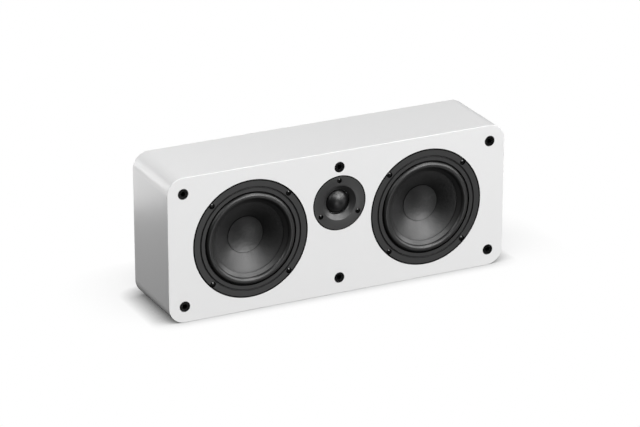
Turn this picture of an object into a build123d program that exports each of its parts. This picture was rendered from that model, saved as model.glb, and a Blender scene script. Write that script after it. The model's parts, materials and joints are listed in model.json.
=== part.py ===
from build123d import *
import math
import os

# A two-way wall speaker lying on its long side, in millimetres.
# X runs to the right, Y from the front to the back, Z up. The origin is under the middle
# of the whole, on the surface that it stands on. A depth is counted from the baffle's face.

# Cabinet
cabinet_width = 440.0
cabinet_height = 180.0
cabinet_depth = 100.0
corner_radius = 20.0
wall_thickness = 12.0
baffle_thickness = 16.0
rear_panel_thickness = 12.0
rear_rebate_width = 6.0
edge_easing = 0.6
panel_clearance = 0.15
brace_thickness = 12.0
brace_offset = 41.0
brace_window_radius = 8.0
brace_rail = 16.0
wadding_thickness = 12.0
wadding_gap = 0.3
wadding_margin = 2.0
wadding_edge_radius = 5.0

# Woofer chassis
woofer_offset = 115.0
flange_diameter = 146.0
flange_clearance = 0.6
flange_thickness = 4.5
flange_edge_radius = 0.8
gasket_thickness = 1.0
gasket_width = 9.0
groove_radius = 63.9
groove_width = 2.2
groove_depth = 1.3
trim_ring_radius = 58.6
ledge_depth = 2.7
ledge_thickness = 1.6
ledge_overlap = 0.6
chassis_wall = 2.4
barrel_diameter = 120.0
barrel_depth = 13.0
cutout_clearance = 1.5
shelf_outer_radius = 43.0
shelf_inner_radius = 37.0
shelf_depth = 31.0
seat_depth = 41.0
leg_count = 6
leg_width = 15.0
window_front_gap = 2.5
basket_floor_lip = 1.5
woofer_screw_circle = 138.4
woofer_screw_count = 4

# Woofer moving parts
surround_thickness = 0.8
surround_lip_thickness = 0.6
surround_lip_end = 0.3
roll_outer_radius = 57.2
roll_inner_radius = 48.6
roll_proud = 2.2
roll_inner_depth = 1.0
cone_thickness = 0.9
cone_fold_radius = 44.0
cone_fold_depth = 4.7
cap_radius = 22.4
cap_depth = 15.0
cap_dish = 4.3
cap_thickness = 0.7
cone_neck_depth = 20.5
cone_neck_length = 2.5
cone_sweep = 0.7
former_radius = 13.0
former_wall = 0.4
former_top_depth = 20.6
winding_thickness = 0.8
winding_length = 12.0
spider_thickness = 0.5
spider_wave_count = 4
spider_wave_height = 0.5
spider_collar_length = 2.0
spider_land = 1.5
spider_rim_gap = 0.5
glue_gap = 0.08
travel_clearance = 0.6

# Woofer motor
top_plate_radius = 38.0
top_plate_thickness = 6.0
magnet_radius = 40.0
magnet_thickness = 12.0
magnet_bore_clearance = 2.5
yoke_thickness = 6.0
yoke_inset = 3.0
pole_vent_radius = 4.5
motor_edge_chamfer = 1.0

# Terminals on the drivers
terminal_board_length = 14.0
terminal_board_width = 18.0
terminal_board_thickness = 1.5
tab_width = 4.0
tab_thickness = 0.8
tab_length = 11.0
tab_spacing = 9.0
tab_overlap = 9.0
tab_eye_radius = 0.9
tab_eye_inset = 2.5

# Tweeter
tweeter_drop = 65.0
faceplate_diameter = 68.0
faceplate_clearance = 0.4
faceplate_thickness = 4.0
faceplate_edge_radius = 0.7
faceplate_boss_radius = 24.4
tweeter_cutout_clearance = 0.5
flare_mouth_radius = 21.5
throat_radius = 15.0
throat_depth = 6.3
tweeter_seat_depth = 7.4
dome_radius = 12.7
dome_apex_depth = 0.4
dome_thickness = 0.3
dome_roll_height = 1.2
dome_flange_radius = 19.0
dome_flange_clearance = 0.2
dome_clamp_gap = 0.05
tweeter_screw_circle = 56.0
tweeter_screw_count = 3
tweeter_screw_scale = 0.9
tweeter_former_wall = 0.25
tweeter_winding_thickness = 0.4
tweeter_winding_length = 3.0
tweeter_gap_clearance = 0.45
tweeter_top_plate_thickness = 3.5
tweeter_magnet_radius = 21.5
tweeter_magnet_thickness = 8.0
tweeter_magnet_bore = 15.5
tweeter_yoke_thickness = 4.0
tweeter_yoke_inset = 1.0
tweeter_vent_radius = 4.0
chamber_radius = 18.0
chamber_length = 15.0
chamber_wall = 1.5
chamber_chamfer = 2.0
tweeter_tab_gap = 1.2

# Screws
screw_head_radius = 3.1
screw_head_height = 2.0
screw_shank_radius = 1.8
screw_length = 12.0
screw_hole_radius = 2.1
screw_pilot_clearance = 0.05
counterbore_radius = 3.6
counterbore_depth = 2.3
cross_width = 0.9
cross_length = 3.8
cross_depth = 1.2
pan_flat_share = 0.45
pan_shoulder_share = 0.86
pan_side_share = 0.2
small_screw_scale = 0.8
rear_screw_length = 10.0
pilot_end_clearance = 0.2

# Grille sockets
socket_inset = 20.0
socket_rim_radius = 6.5
socket_rim_thickness = 1.2
socket_rim_proud = 0.3
socket_body_radius = 5.3
socket_length = 11.0
socket_bore_radius = 3.2
socket_bore_depth = 8.0
socket_ring_radius = 4.9
socket_ring_drop = 0.6
socket_ring_slope = 0.3
socket_rim_bevel = 0.4
socket_floor_thickness = 1.5
socket_foot_chamfer = 1.0
socket_slit_width = 0.9
socket_slit_reach = 4.4
socket_clearance = 0.1

# Terminal cup and binding posts
cup_height = 50.0
cup_flange_width = 74.0
cup_flange_height = 62.0
cup_flange_thickness = 2.5
cup_corner_radius = 6.0
cup_recess_corner = 5.0
cup_mouth_width = 56.0
cup_mouth_height = 46.0
cup_floor_width = 50.0
cup_floor_height = 38.0
cup_recess_depth = 24.0
cup_wall = 2.0
cup_clearance = 0.4
cup_screw_spacing_x = 64.0
cup_screw_spacing_z = 52.0
post_spacing = 19.05
post_boss_radius = 6.0
post_boss_height = 2.5
stud_radius = 2.9
stud_running_clearance = 0.08
stud_end_drop = 3.0
stud_inner_length = 9.0
banana_bore_radius = 2.05
banana_bore_depth = 15.0
wire_hole_radius = 1.3
wire_hole_rise = 1.6
clamp_washer_radius = 5.4
clamp_washer_thickness = 1.0
clamp_washer_gap = 0.1
knob_radius = 7.2
knob_flute_count = 12
knob_flute_radius = 1.1
knob_chamfer = 0.9
nut_across_flats = 9.0
nut_thickness = 3.0
tag_thickness = 0.8
tag_radius = 5.0
tag_length = 13.0

# Crossover
board_width = 60.0
board_height = 70.0
board_thickness = 1.6
standoff_radius = 3.0
standoff_length = 6.0
board_hole_inset = 4.5
board_screw_bite = 4.5
board_pilot_depth = 5.0
coil_outer_radius = 12.5
coil_inner_radius = 6.5
coil_length = 13.0
coil_spread = 15.0
coil_drop = 17.0
capacitor_radius = 5.5
capacitor_length = 22.0
capacitor_chamfer = 1.0
capacitor_count = 3
capacitor_pitch = 12.0
capacitor_rise = 2.0
capacitor_offset = 12.0
resistor_width = 9.0
resistor_length = 24.0
resistor_offset = 14.0
component_gap = 0.2

# Leads
lead_radius = 0.9
lead_arc_share = 0.45
lead_edge_rise = 2.0
supply_row_offset = 12.0
woofer_row_offsets = {"positive": 21.0, "negative": 17.0}
lead_window_depth = 50.0
lead_window_drops = {"positive": 30.0, "negative": 33.2}

# Wall hangers
hanger_spacing = 300.0
hanger_drop = 40.0
hanger_width = 22.0
hanger_length = 46.0
hanger_thickness = 1.5
hanger_corner_radius = 3.0
keyhole_radius = 5.0
keyhole_slot_width = 5.0
keyhole_rise = 10.0
keyhole_drop = 5.0
keyhole_pocket_depth = 9.0
keyhole_pocket_margin = 1.5
hanger_screw_spacing = 35.0
bumper_radius = 5.0
bumper_height = 2.5
bumper_chamfer = 0.8
bumper_inset = 25.0

# Worked out from the sizes above
whole_depth = roll_proud + cabinet_depth + bumper_height
front_y = roll_proud - whole_depth / 2
middle_height = cabinet_height / 2
tweeter_height = cabinet_height - tweeter_drop
hanger_height = cabinet_height - hanger_drop
inner_depth = cabinet_depth - rear_panel_thickness
inner_corner_radius = corner_radius - wall_thickness
flange_radius = flange_diameter / 2
rebate_depth = flange_thickness + gasket_thickness
barrel_radius = barrel_diameter / 2
cutout_radius = barrel_radius + cutout_clearance
seat_radius = shelf_inner_radius + chassis_wall
pole_radius = former_radius - former_wall - travel_clearance
winding_radius = former_radius + winding_thickness
gap_radius = winding_radius + travel_clearance
magnet_front_depth = seat_depth + top_plate_thickness
yoke_front_depth = magnet_front_depth + magnet_thickness
spider_level = shelf_depth - spider_thickness
dome_seat_depth = tweeter_seat_depth - dome_clamp_gap - dome_thickness
tweeter_magnet_depth = tweeter_seat_depth + tweeter_top_plate_thickness
tweeter_yoke_depth = tweeter_magnet_depth + tweeter_magnet_thickness
cup_floor_depth = cabinet_depth - cup_recess_depth
cup_top = cup_height + cup_mouth_height / 2 + cup_wall
board_centre_height = (cup_top + cabinet_height - wall_thickness) / 2
terminal_board_top = middle_height - seat_radius - component_gap
terminal_board_near = shelf_depth + chassis_wall
terminal_board_far = terminal_board_near + terminal_board_thickness
woofer_tab_top = terminal_board_top - terminal_board_length + tab_overlap
cone_rim = (roll_inner_radius - surround_thickness / 2, roll_inner_depth + surround_thickness + glue_gap)
sides = {"left": -1, "right": 1}

parts = {}


# Shared shapes
def prism(sketch, near, far):
    """Runs a sketch, drawn in X and Z, from one depth to another."""
    face = Plane.XZ.offset(-(front_y + near)) * sketch
    return extrude(face, amount=-(far - near))


def turned(profile, x, z):
    """Turns a profile, drawn in radius and depth, about an axis from front to back."""
    return Pos(x, front_y, z) * revolve(profile, Axis.Y)


def ring(inner, outer, near, far, x, z):
    """A flat ring, or a disc where the inner radius is nothing."""
    corners = [(inner, near), (outer, near), (outer, far), (inner, far)]
    return turned(make_face(Polyline(*corners, close=True)), x, z)


def drill(radius, near, far, places):
    """Round holes at the places, as one cutter."""
    return [prism(Pos(x, z) * Circle(radius), near, far) for x, z in places]


def domed(apex, rim_radius, rim_depth, outward=True):
    """An arc centred on the axis between its apex and its rim."""
    rise = rim_depth - apex
    sphere = (rim_radius ** 2 + rise ** 2) / (2 * rise)
    half = math.asin(rim_radius / abs(sphere)) / 2
    middle = (abs(sphere) * math.sin(half), apex + sphere * (1 - math.cos(half)))
    ends = [(0, apex), (rim_radius, rim_depth)]
    if not outward:
        ends.reverse()
    return ThreePointArc(ends[0], middle, ends[1])


def around(radius, count, first_angle, x, z):
    """Places evenly round a circle."""
    step = 360 / count
    angles = [math.radians(first_angle + step * index) for index in range(count)]
    return [(x + radius * math.cos(a), z + radius * math.sin(a)) for a in angles]


def corners_of(width, height, x, z):
    """The four corners of an upright rectangle."""
    return [(x + i * width / 2, z + k * height / 2) for i in (-1, 1) for k in (-1, 1)]


def pan_screw(x, z, seat, size=1.0, length=screw_length):
    """A pan-head screw whose head stands on the seat depth and faces the front."""
    head = screw_head_radius * size
    rise = screw_head_height * size
    flat = head * pan_flat_share
    side = -rise * pan_side_share
    shank = screw_shank_radius * size
    tip = length - 2 * shank
    profile = make_face(Polyline(
        (0, -rise),
        (flat, -rise),
        (head * pan_shoulder_share, side - rise / 2),
        (head, side),
        (head, 0),
        (shank, 0),
        (shank, tip),
        (0, length),
        close=True,
    ))
    body = Pos(x, front_y + seat, z) * revolve(profile, Axis.Y)
    cross = Rectangle(cross_length * size, cross_width * size)
    cross += Rectangle(cross_width * size, cross_length * size)
    recess = prism(Pos(x, z) * Rot(0, 0, 45) * cross, seat - rise, seat - rise + cross_depth * size)
    return body - recess


def rear_screw(x, z, face, size=small_screw_scale, length=rear_screw_length):
    """A countersunk screw let in from the back, its head level with the face depth."""
    head = screw_head_radius * size
    shank = screw_shank_radius * size
    sink = head - shank
    corners = [(0, face), (head, face), (shank, face - sink), (shank, face - length), (0, face - length)]
    body = turned(make_face(Polyline(*corners, close=True)), x, z)
    cross = Rectangle(cross_length * size, cross_width * size)
    cross += Rectangle(cross_width * size, cross_length * size)
    return body - prism(Pos(x, z) * cross, face - sink, face)


def countersinks(face, places, size=small_screw_scale, length=rear_screw_length):
    """The holes for rear screws, each with its cone and a pilot."""
    head = (screw_head_radius + screw_pilot_clearance) * size
    shank = (screw_shank_radius + screw_pilot_clearance) * size
    sink = head - shank
    tip = face - length - pilot_end_clearance
    corners = [(0, face), (head, face), (shank, face - sink), (shank, tip), (0, tip)]
    profile = make_face(Polyline(*corners, close=True))
    return [turned(profile, x, z) for x, z in places]


# Places shared by several pieces
woofer_screw_places = {
    side: around(woofer_screw_circle / 2, woofer_screw_count, 45, sign * woofer_offset, middle_height)
    for side, sign in sides.items()
}
tweeter_screw_places = around(tweeter_screw_circle / 2, tweeter_screw_count, 90, 0, tweeter_height)
socket_reach_x = cabinet_width / 2 - socket_inset
socket_reach_z = middle_height - socket_inset
socket_places = [
    (x, middle_height + k * socket_reach_z)
    for x in (-socket_reach_x, 0, socket_reach_x)
    for k in (-1, 1)
]
cup_screw_places = corners_of(cup_screw_spacing_x, cup_screw_spacing_z, 0, cup_height)
hanger_places = [(sign * hanger_spacing / 2, hanger_height) for sign in sides.values()]
hanger_screw_places = [
    (x, z + k * hanger_screw_spacing / 2) for x, z in hanger_places for k in (-1, 1)
]
bumper_places = corners_of(
    cabinet_width - 2 * bumper_inset, cabinet_height - 2 * bumper_inset, 0, middle_height
)
board_hole_places = corners_of(
    board_width - 2 * board_hole_inset,
    board_height - 2 * board_hole_inset,
    0,
    board_centre_height,
)
post_places = {"negative": (-post_spacing / 2, cup_height), "positive": (post_spacing / 2, cup_height)}


# Cabinet shell: one lacquered box, open at the back, with a rebate for the rear panel
def cabinet_outline(inset, radius):
    """The cabinet's front outline, drawn in by the inset."""
    width = cabinet_width - 2 * inset
    height = cabinet_height - 2 * inset
    return Pos(0, middle_height) * RectangleRounded(width, height, radius)


shell = prism(cabinet_outline(0, corner_radius), 0, cabinet_depth)
front_edges = shell.faces().sort_by(Axis.Y)[0].edges()
shell = fillet(front_edges, edge_easing)
shell -= prism(cabinet_outline(wall_thickness, inner_corner_radius), baffle_thickness, cabinet_depth)
rebate_inset = wall_thickness - rear_rebate_width
shell -= prism(cabinet_outline(rebate_inset, corner_radius - rebate_inset), inner_depth, cabinet_depth)
for side, sign in sides.items():
    centre = (sign * woofer_offset, middle_height)
    shell -= drill(flange_radius + flange_clearance, 0, rebate_depth, [centre])
    shell -= drill(cutout_radius, 0, baffle_thickness, [centre])
    relief = baffle_thickness / 2
    relief_profile = make_face(Polyline(
        (0, relief), (cutout_radius, relief),
        (cutout_radius + relief, baffle_thickness), (0, baffle_thickness), close=True,
    ))
    shell -= turned(relief_profile, *centre)
    shell -= drill(
        screw_shank_radius + screw_pilot_clearance,
        rebate_depth,
        counterbore_depth + screw_length + pilot_end_clearance,
        woofer_screw_places[side],
    )
tweeter_centre = (0, tweeter_height)
tweeter_cutout_radius = faceplate_boss_radius + tweeter_cutout_clearance
shell -= drill(faceplate_diameter / 2 + faceplate_clearance, 0, faceplate_thickness, [tweeter_centre])
shell -= drill(tweeter_cutout_radius, 0, baffle_thickness, [tweeter_centre])
shell -= drill(
    screw_shank_radius * tweeter_screw_scale + screw_pilot_clearance,
    faceplate_thickness,
    counterbore_depth + screw_length + pilot_end_clearance,
    tweeter_screw_places,
)
socket_seat_depth = socket_rim_thickness - socket_rim_proud
shell -= drill(socket_rim_radius + socket_clearance, 0, socket_seat_depth, socket_places)
shell -= drill(socket_body_radius + socket_clearance, 0, socket_length + socket_clearance, socket_places)
parts["cabinet_shell"] = shell


# Rear panel: let into the shell's rebate, with the openings for the cup and the hangers
def keyhole(x, z, margin=0.0):
    """A keyhole: a round entry with a slot that rises from it."""
    entry = z - keyhole_drop
    radius = keyhole_slot_width / 2 + margin
    slot = Pos(x, entry + keyhole_rise / 2) * Rectangle(2 * radius, keyhole_rise)
    slot += Pos(x, entry + keyhole_rise) * Circle(radius)
    return slot + Pos(x, entry) * Circle(keyhole_radius + margin)


def cup_rectangle(width, height, radius):
    """A rounded rectangle about the terminal cup's centre."""
    return Pos(0, cup_height) * RectangleRounded(width, height, radius)


panel_inset = rebate_inset + panel_clearance
panel = prism(cabinet_outline(panel_inset, corner_radius - panel_inset), inner_depth, cabinet_depth)
cup_grow = 2 * (cup_wall + cup_clearance)
panel -= prism(
    cup_rectangle(cup_mouth_width + cup_grow, cup_mouth_height + cup_grow, cup_corner_radius),
    inner_depth,
    cabinet_depth,
)
panel -= prism(
    cup_rectangle(
        cup_flange_width + 2 * panel_clearance,
        cup_flange_height + 2 * panel_clearance,
        cup_corner_radius + panel_clearance,
    ),
    cabinet_depth - cup_flange_thickness,
    cabinet_depth,
)
panel -= countersinks(cabinet_depth, cup_screw_places)
for x, z in hanger_places:
    plate_rebate = RectangleRounded(
        hanger_width + 2 * panel_clearance,
        hanger_length + 2 * panel_clearance,
        hanger_corner_radius + panel_clearance,
    )
    panel -= prism(Pos(x, z) * plate_rebate, cabinet_depth - hanger_thickness, cabinet_depth)
    pocket = keyhole(x, z, keyhole_pocket_margin)
    panel -= prism(pocket, cabinet_depth - keyhole_pocket_depth, cabinet_depth)
panel -= countersinks(cabinet_depth, hanger_screw_places)
panel -= drill(
    screw_shank_radius * small_screw_scale + screw_pilot_clearance,
    inner_depth,
    inner_depth + board_pilot_depth,
    board_hole_places,
)
parts["rear_panel"] = panel

# Braces between the baffle and the rear panel, each with two windows
brace_height = cabinet_height - 2 * wall_thickness
brace_depth = inner_depth - baffle_thickness
window_depth = brace_depth - 2 * brace_rail
window_height = (brace_height - 3 * brace_rail) / 2
for side, sign in sides.items():
    brace = Pos(sign * brace_offset, front_y + baffle_thickness + brace_depth / 2, middle_height) * Box(
        brace_thickness, brace_depth, brace_height
    )
    for k in (-1, 1):
        window_centre = (
            front_y + baffle_thickness + brace_depth / 2,
            middle_height + k * (window_height + brace_rail) / 2,
        )
        window = Pos(*window_centre) * RectangleRounded(window_depth, window_height, brace_window_radius)
        face = Plane.YZ.offset(sign * brace_offset - brace_thickness / 2) * window
        brace -= extrude(face, amount=brace_thickness)
    parts[f"brace_{side}"] = brace

# Wadding pads on the rear panel behind each woofer
wadding_outer_x = cabinet_width / 2 - wall_thickness - wadding_margin
wadding_inner_x = brace_offset + brace_thickness / 2 + wadding_margin
wadding_width = wadding_outer_x - wadding_inner_x
wadding_height = cabinet_height - 2 * wall_thickness - 2 * wadding_margin
wadding_centre_x = (wadding_outer_x + wadding_inner_x) / 2
for side, sign in sides.items():
    pad_far = inner_depth - wadding_gap
    pad_shape = Pos(sign * wadding_centre_x, middle_height) * RectangleRounded(
        wadding_width, wadding_height, inner_corner_radius
    )
    pad = prism(pad_shape, pad_far - wadding_thickness, pad_far)
    front_rim = pad.faces().sort_by(Axis.Y)[0].edges()
    parts[f"wadding_{side}"] = fillet(front_rim, wadding_edge_radius)


# Woofer
def chassis_profile():
    """The chassis's half section: flange with its groove, ledge, barrel, shelf and seat."""
    edge = flange_edge_radius
    bevel = edge * (1 - math.sqrt(0.5))
    half = groove_width / 2
    ledge_inner = roll_outer_radius - ledge_overlap
    ledge_back = ledge_depth + ledge_thickness
    floor_rim = gap_radius + basket_floor_lip
    inside = barrel_radius - chassis_wall
    shelf_back = shelf_depth + chassis_wall
    floor = seat_depth - chassis_wall
    return make_face([
        Line((trim_ring_radius, 0), (groove_radius - half, 0)),
        ThreePointArc(
            (groove_radius - half, 0), (groove_radius, groove_depth), (groove_radius + half, 0)
        ),
        Line((groove_radius + half, 0), (flange_radius - edge, 0)),
        ThreePointArc(
            (flange_radius - edge, 0), (flange_radius - bevel, bevel), (flange_radius, edge)
        ),
        Polyline(
            (flange_radius, edge),
            (flange_radius, flange_thickness),
            (barrel_radius, flange_thickness),
            (barrel_radius, barrel_depth),
            (shelf_outer_radius, shelf_depth),
            (shelf_outer_radius, shelf_back),
            (seat_radius, shelf_back),
            (seat_radius, seat_depth),
            (floor_rim, seat_depth),
            (floor_rim, floor),
            (shelf_inner_radius, floor),
            (shelf_inner_radius, shelf_depth),
            (shelf_outer_radius - chassis_wall, shelf_depth),
            (inside, barrel_depth - chassis_wall),
            (inside, ledge_back),
            (ledge_inner, ledge_back),
            (ledge_inner, ledge_depth),
            (trim_ring_radius, ledge_depth),
            (trim_ring_radius, 0),
        ),
    ])


def chassis_windows(x, z):
    """Cutters for the openings between the chassis's legs."""
    reach = cutout_radius
    wedge = Circle(reach) - Circle(shelf_outer_radius)
    for index in range(leg_count):
        turn = Rot(0, 0, 360 / leg_count * (index + 0.5))
        bar = turn * Pos(reach / 2, 0) * Rectangle(reach, leg_width)
        wedge -= bar
    return prism(Pos(x, z) * wedge, flange_thickness + window_front_gap, shelf_depth)


def woofer(side, x):
    """One woofer, from its chassis to its screws."""
    z = middle_height
    name = f"woofer_{side}"
    chassis = turned(chassis_profile(), x, z) - chassis_windows(x, z)
    chassis -= drill(counterbore_radius, 0, counterbore_depth, woofer_screw_places[side])
    chassis -= drill(screw_hole_radius, 0, flange_thickness, woofer_screw_places[side])
    parts[f"{name}_chassis"] = chassis

    gasket = ring(flange_radius - gasket_width, flange_radius, flange_thickness, rebate_depth, x, z)
    parts[f"{name}_gasket"] = gasket - drill(
        screw_hole_radius, flange_thickness, rebate_depth, woofer_screw_places[side]
    )

    parts[f"{name}_surround"] = turned(surround_profile(), x, z)
    parts[f"{name}_cone"] = turned(cone_profile(), x, z)
    parts[f"{name}_dust_cap"] = turned(dust_cap_profile(), x, z)
    parts[f"{name}_voice_coil"] = turned(voice_coil_profile(), x, z)
    parts[f"{name}_spider"] = turned(spider_profile(), x, z)

    parts[f"{name}_top_plate"] = ring(
        gap_radius, top_plate_radius, seat_depth, magnet_front_depth, x, z
    )
    magnet = ring(
        gap_radius + magnet_bore_clearance, magnet_radius, magnet_front_depth, yoke_front_depth, x, z
    )
    rims = magnet.edges().filter_by(GeomType.CIRCLE).group_by(SortBy.RADIUS)[-1]
    parts[f"{name}_magnet"] = chamfer(rims, motor_edge_chamfer)
    parts[f"{name}_yoke"] = turned(yoke_profile(), x, z)

    board = Pos(x, terminal_board_top - terminal_board_length / 2) * Rectangle(
        terminal_board_width, terminal_board_length
    )
    parts[f"{name}_terminal_board"] = prism(board, terminal_board_near, terminal_board_far)
    tab_middle = woofer_tab_top - tab_length / 2
    eye_z = woofer_tab_top - tab_length + tab_eye_inset
    tabs = []
    for k in (-1, 1):
        tab_x = x + k * tab_spacing / 2
        blade = Pos(tab_x, tab_middle) * Rectangle(tab_width, tab_length)
        blade -= Pos(tab_x, eye_z) * Circle(tab_eye_radius)
        tabs.append(prism(blade, terminal_board_far, terminal_board_far + tab_thickness))
    return tabs


def surround_profile():
    """The rubber roll between its flat outer lip and the lip that lies on the cone."""
    t = surround_thickness
    crest = (roll_outer_radius + roll_inner_radius) / 2
    lip = ledge_depth - t
    rim_radius, rim_depth = cone_rim
    slope = (cone_fold_depth - rim_depth) / (rim_radius - cone_fold_radius)
    end_depth = cone_fold_depth - glue_gap - slope * surround_lip_end
    return make_face([
        ThreePointArc((roll_outer_radius, lip), (crest, -roll_proud), (roll_inner_radius, roll_inner_depth)),
        Polyline(
            (roll_inner_radius, roll_inner_depth),
            (cone_fold_radius + surround_lip_end, end_depth - surround_lip_thickness),
            (cone_fold_radius + surround_lip_end, end_depth),
            (rim_radius, rim_depth - glue_gap),
            (roll_inner_radius + t, roll_inner_depth + t / 2),
        ),
        ThreePointArc(
            (roll_inner_radius + t, roll_inner_depth + t / 2),
            (crest, t - roll_proud),
            (roll_outer_radius - t, lip + t / 4),
        ),
        Polyline(
            (roll_outer_radius - t, lip + t / 4),
            (roll_outer_radius - t, ledge_depth),
            (trim_ring_radius - panel_clearance, ledge_depth),
            (trim_ring_radius - panel_clearance, lip),
            (roll_outer_radius, lip),
        ),
    ])


def cone_profile():
    """The cone's half section: rim, fold, a slightly curved flank and the neck."""
    t = cone_thickness
    rim = cone_rim
    fold = (cone_fold_radius, cone_fold_depth)
    joint = (cap_radius, cap_depth + cap_thickness)
    neck_radius = former_radius + glue_gap
    neck = (neck_radius, cone_neck_depth)
    middle = ((fold[0] + joint[0]) / 2, (fold[1] + joint[1]) / 2 - cone_sweep)
    foot = cone_neck_depth + cone_neck_length
    return make_face([
        Line(rim, fold),
        ThreePointArc(fold, middle, joint),
        Polyline(joint, neck, (neck_radius, foot), (neck_radius + t, foot), (neck_radius + t, neck[1] + t)),
        Line((neck_radius + t, neck[1] + t), (joint[0], joint[1] + t)),
        ThreePointArc((joint[0], joint[1] + t), (middle[0], middle[1] + t), (fold[0], fold[1] + t)),
        Polyline((fold[0], fold[1] + t), (rim[0], rim[1] + t), rim),
    ])


def dust_cap_profile():
    """The dished cap, with its rim seated on the cone."""
    back = cap_thickness - glue_gap
    bottom = cap_depth + cap_dish
    return make_face([
        domed(bottom, cap_radius, cap_depth),
        Line((cap_radius, cap_depth), (cap_radius, cap_depth + back)),
        domed(bottom + back, cap_radius, cap_depth + back, outward=False),
        Line((0, bottom + back), (0, bottom)),
    ])


def voice_coil_profile():
    """The former and the wire bonded round its foot, centred on the top plate."""
    centre = seat_depth + top_plate_thickness / 2
    near = centre - winding_length / 2
    far = centre + winding_length / 2
    inner = former_radius - former_wall
    return make_face(Polyline(
        (inner, former_top_depth),
        (former_radius, former_top_depth),
        (former_radius, near),
        (winding_radius, near),
        (winding_radius, far),
        (inner, far),
        close=True,
    ))


def spider_profile():
    """The corrugated disc between the shelf and the former."""
    t = spider_thickness
    start = shelf_inner_radius - spider_rim_gap
    collar = former_radius + glue_gap
    finish = collar + spider_land
    collar_end = spider_level + spider_collar_length
    level = spider_level
    pitch = (start - finish) / (2 * spider_wave_count)

    def wave(shift, order):
        arcs = []
        for index in order:
            outer = start - pitch * index
            rise = spider_wave_height * (1 if index % 2 else -1)
            ends = [(outer, level + shift), (outer - pitch, level + shift)]
            peak = (outer - pitch / 2, level + shift + rise)
            arcs.append(ThreePointArc(ends[0], peak, ends[1]))
        return arcs

    count = range(2 * spider_wave_count)
    rim = shelf_outer_radius - chassis_wall - spider_rim_gap
    return make_face(
        [Line((rim, level), (start, level))]
        + wave(0, count)
        + [Polyline(
            (finish, level),
            (collar, level),
            (collar, collar_end),
            (collar + t, collar_end),
            (collar + t, level + t),
            (finish, level + t),
        )]
        + wave(t, count)
        + [Polyline((start, level + t), (rim, level + t), (rim, level))]
    )


def yoke_profile():
    """The back plate and the vented pole, turned in one piece."""
    back = yoke_front_depth + yoke_thickness
    cut = motor_edge_chamfer
    plate = magnet_radius - yoke_inset
    return make_face(Polyline(
        (pole_vent_radius, seat_depth),
        (pole_radius - cut, seat_depth),
        (pole_radius, seat_depth + cut),
        (pole_radius, yoke_front_depth),
        (plate, yoke_front_depth),
        (plate, back - cut),
        (plate - cut, back),
        (pole_vent_radius, back),
        close=True,
    ))


driver_tabs = []
for side, sign in sides.items():
    driver_tabs += woofer(side, sign * woofer_offset)
woofer_screws = [
    pan_screw(x, z, counterbore_depth) for places in woofer_screw_places.values() for x, z in places
]
parts["woofer_screws"] = woofer_screws


# Tweeter
def faceplate_profile():
    """The faceplate's half section: a flat rim and a flare that turns into the throat."""
    outer = faceplate_diameter / 2
    edge = faceplate_edge_radius
    bevel = edge * (1 - math.sqrt(0.5))
    seat = dome_seat_depth - dome_clamp_gap
    rim = dome_flange_radius + dome_flange_clearance
    return make_face([
        Line((flare_mouth_radius, 0), (outer - edge, 0)),
        ThreePointArc((outer - edge, 0), (outer - bevel, bevel), (outer, edge)),
        Polyline(
            (outer, edge),
            (outer, faceplate_thickness),
            (faceplate_boss_radius, faceplate_thickness),
            (faceplate_boss_radius, tweeter_seat_depth),
            (rim, tweeter_seat_depth),
            (rim, seat),
            (throat_radius, seat),
            (throat_radius, throat_depth),
        ),
        Bezier(
            (throat_radius, throat_depth),
            (throat_radius + 0.4, throat_depth * 0.45),
            (flare_mouth_radius - 4.2, 0),
            (flare_mouth_radius, 0),
        ),
    ])


def dome_profile():
    """The dome, its small roll and the flat rim, pressed from one piece of cloth."""
    t = dome_thickness
    base = dome_seat_depth
    inside = dome_radius - t
    roll_end = throat_radius - dome_flange_clearance
    crest = (dome_radius + roll_end) / 2
    return make_face([
        domed(dome_apex_depth, dome_radius, base),
        ThreePointArc((dome_radius, base), (crest, base - dome_roll_height), (roll_end, base)),
        Polyline(
            (roll_end, base), (dome_flange_radius, base), (dome_flange_radius, base + t), (roll_end, base + t)
        ),
        ThreePointArc(
            (roll_end, base + t), (crest, base + t - dome_roll_height), (dome_radius, base + t)
        ),
        Line((dome_radius, base + t), (inside, base + t)),
        domed(dome_apex_depth + t, inside, base + t, outward=False),
        Line((0, dome_apex_depth + t), (0, dome_apex_depth)),
    ])


faceplate = turned(faceplate_profile(), *tweeter_centre)
faceplate -= drill(counterbore_radius * tweeter_screw_scale, 0, counterbore_depth, tweeter_screw_places)
faceplate -= drill(screw_hole_radius * tweeter_screw_scale, 0, faceplate_thickness, tweeter_screw_places)
parts["tweeter_faceplate"] = faceplate
parts["tweeter_dome"] = turned(dome_profile(), *tweeter_centre)

coil_top = dome_seat_depth + dome_thickness + glue_gap
coil_centre = tweeter_seat_depth + tweeter_top_plate_thickness / 2
coil_inner = dome_radius - dome_thickness - tweeter_former_wall
coil_outer = dome_radius - dome_thickness
winding_outer = coil_outer + tweeter_winding_thickness
tweeter_coil_profile = make_face(Polyline(
    (coil_inner, coil_top),
    (coil_outer, coil_top),
    (coil_outer, coil_centre - tweeter_winding_length / 2),
    (winding_outer, coil_centre - tweeter_winding_length / 2),
    (winding_outer, coil_centre + tweeter_winding_length / 2),
    (coil_inner, coil_centre + tweeter_winding_length / 2),
    close=True,
))
parts["tweeter_voice_coil"] = turned(tweeter_coil_profile, *tweeter_centre)
parts["tweeter_top_plate"] = ring(
    winding_outer + tweeter_gap_clearance,
    tweeter_magnet_radius,
    tweeter_seat_depth,
    tweeter_magnet_depth,
    *tweeter_centre,
)
parts["tweeter_magnet"] = ring(
    tweeter_magnet_bore, tweeter_magnet_radius, tweeter_magnet_depth, tweeter_yoke_depth, *tweeter_centre
)
tweeter_pole_radius = coil_inner - tweeter_gap_clearance
tweeter_yoke_back = tweeter_yoke_depth + tweeter_yoke_thickness
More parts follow.
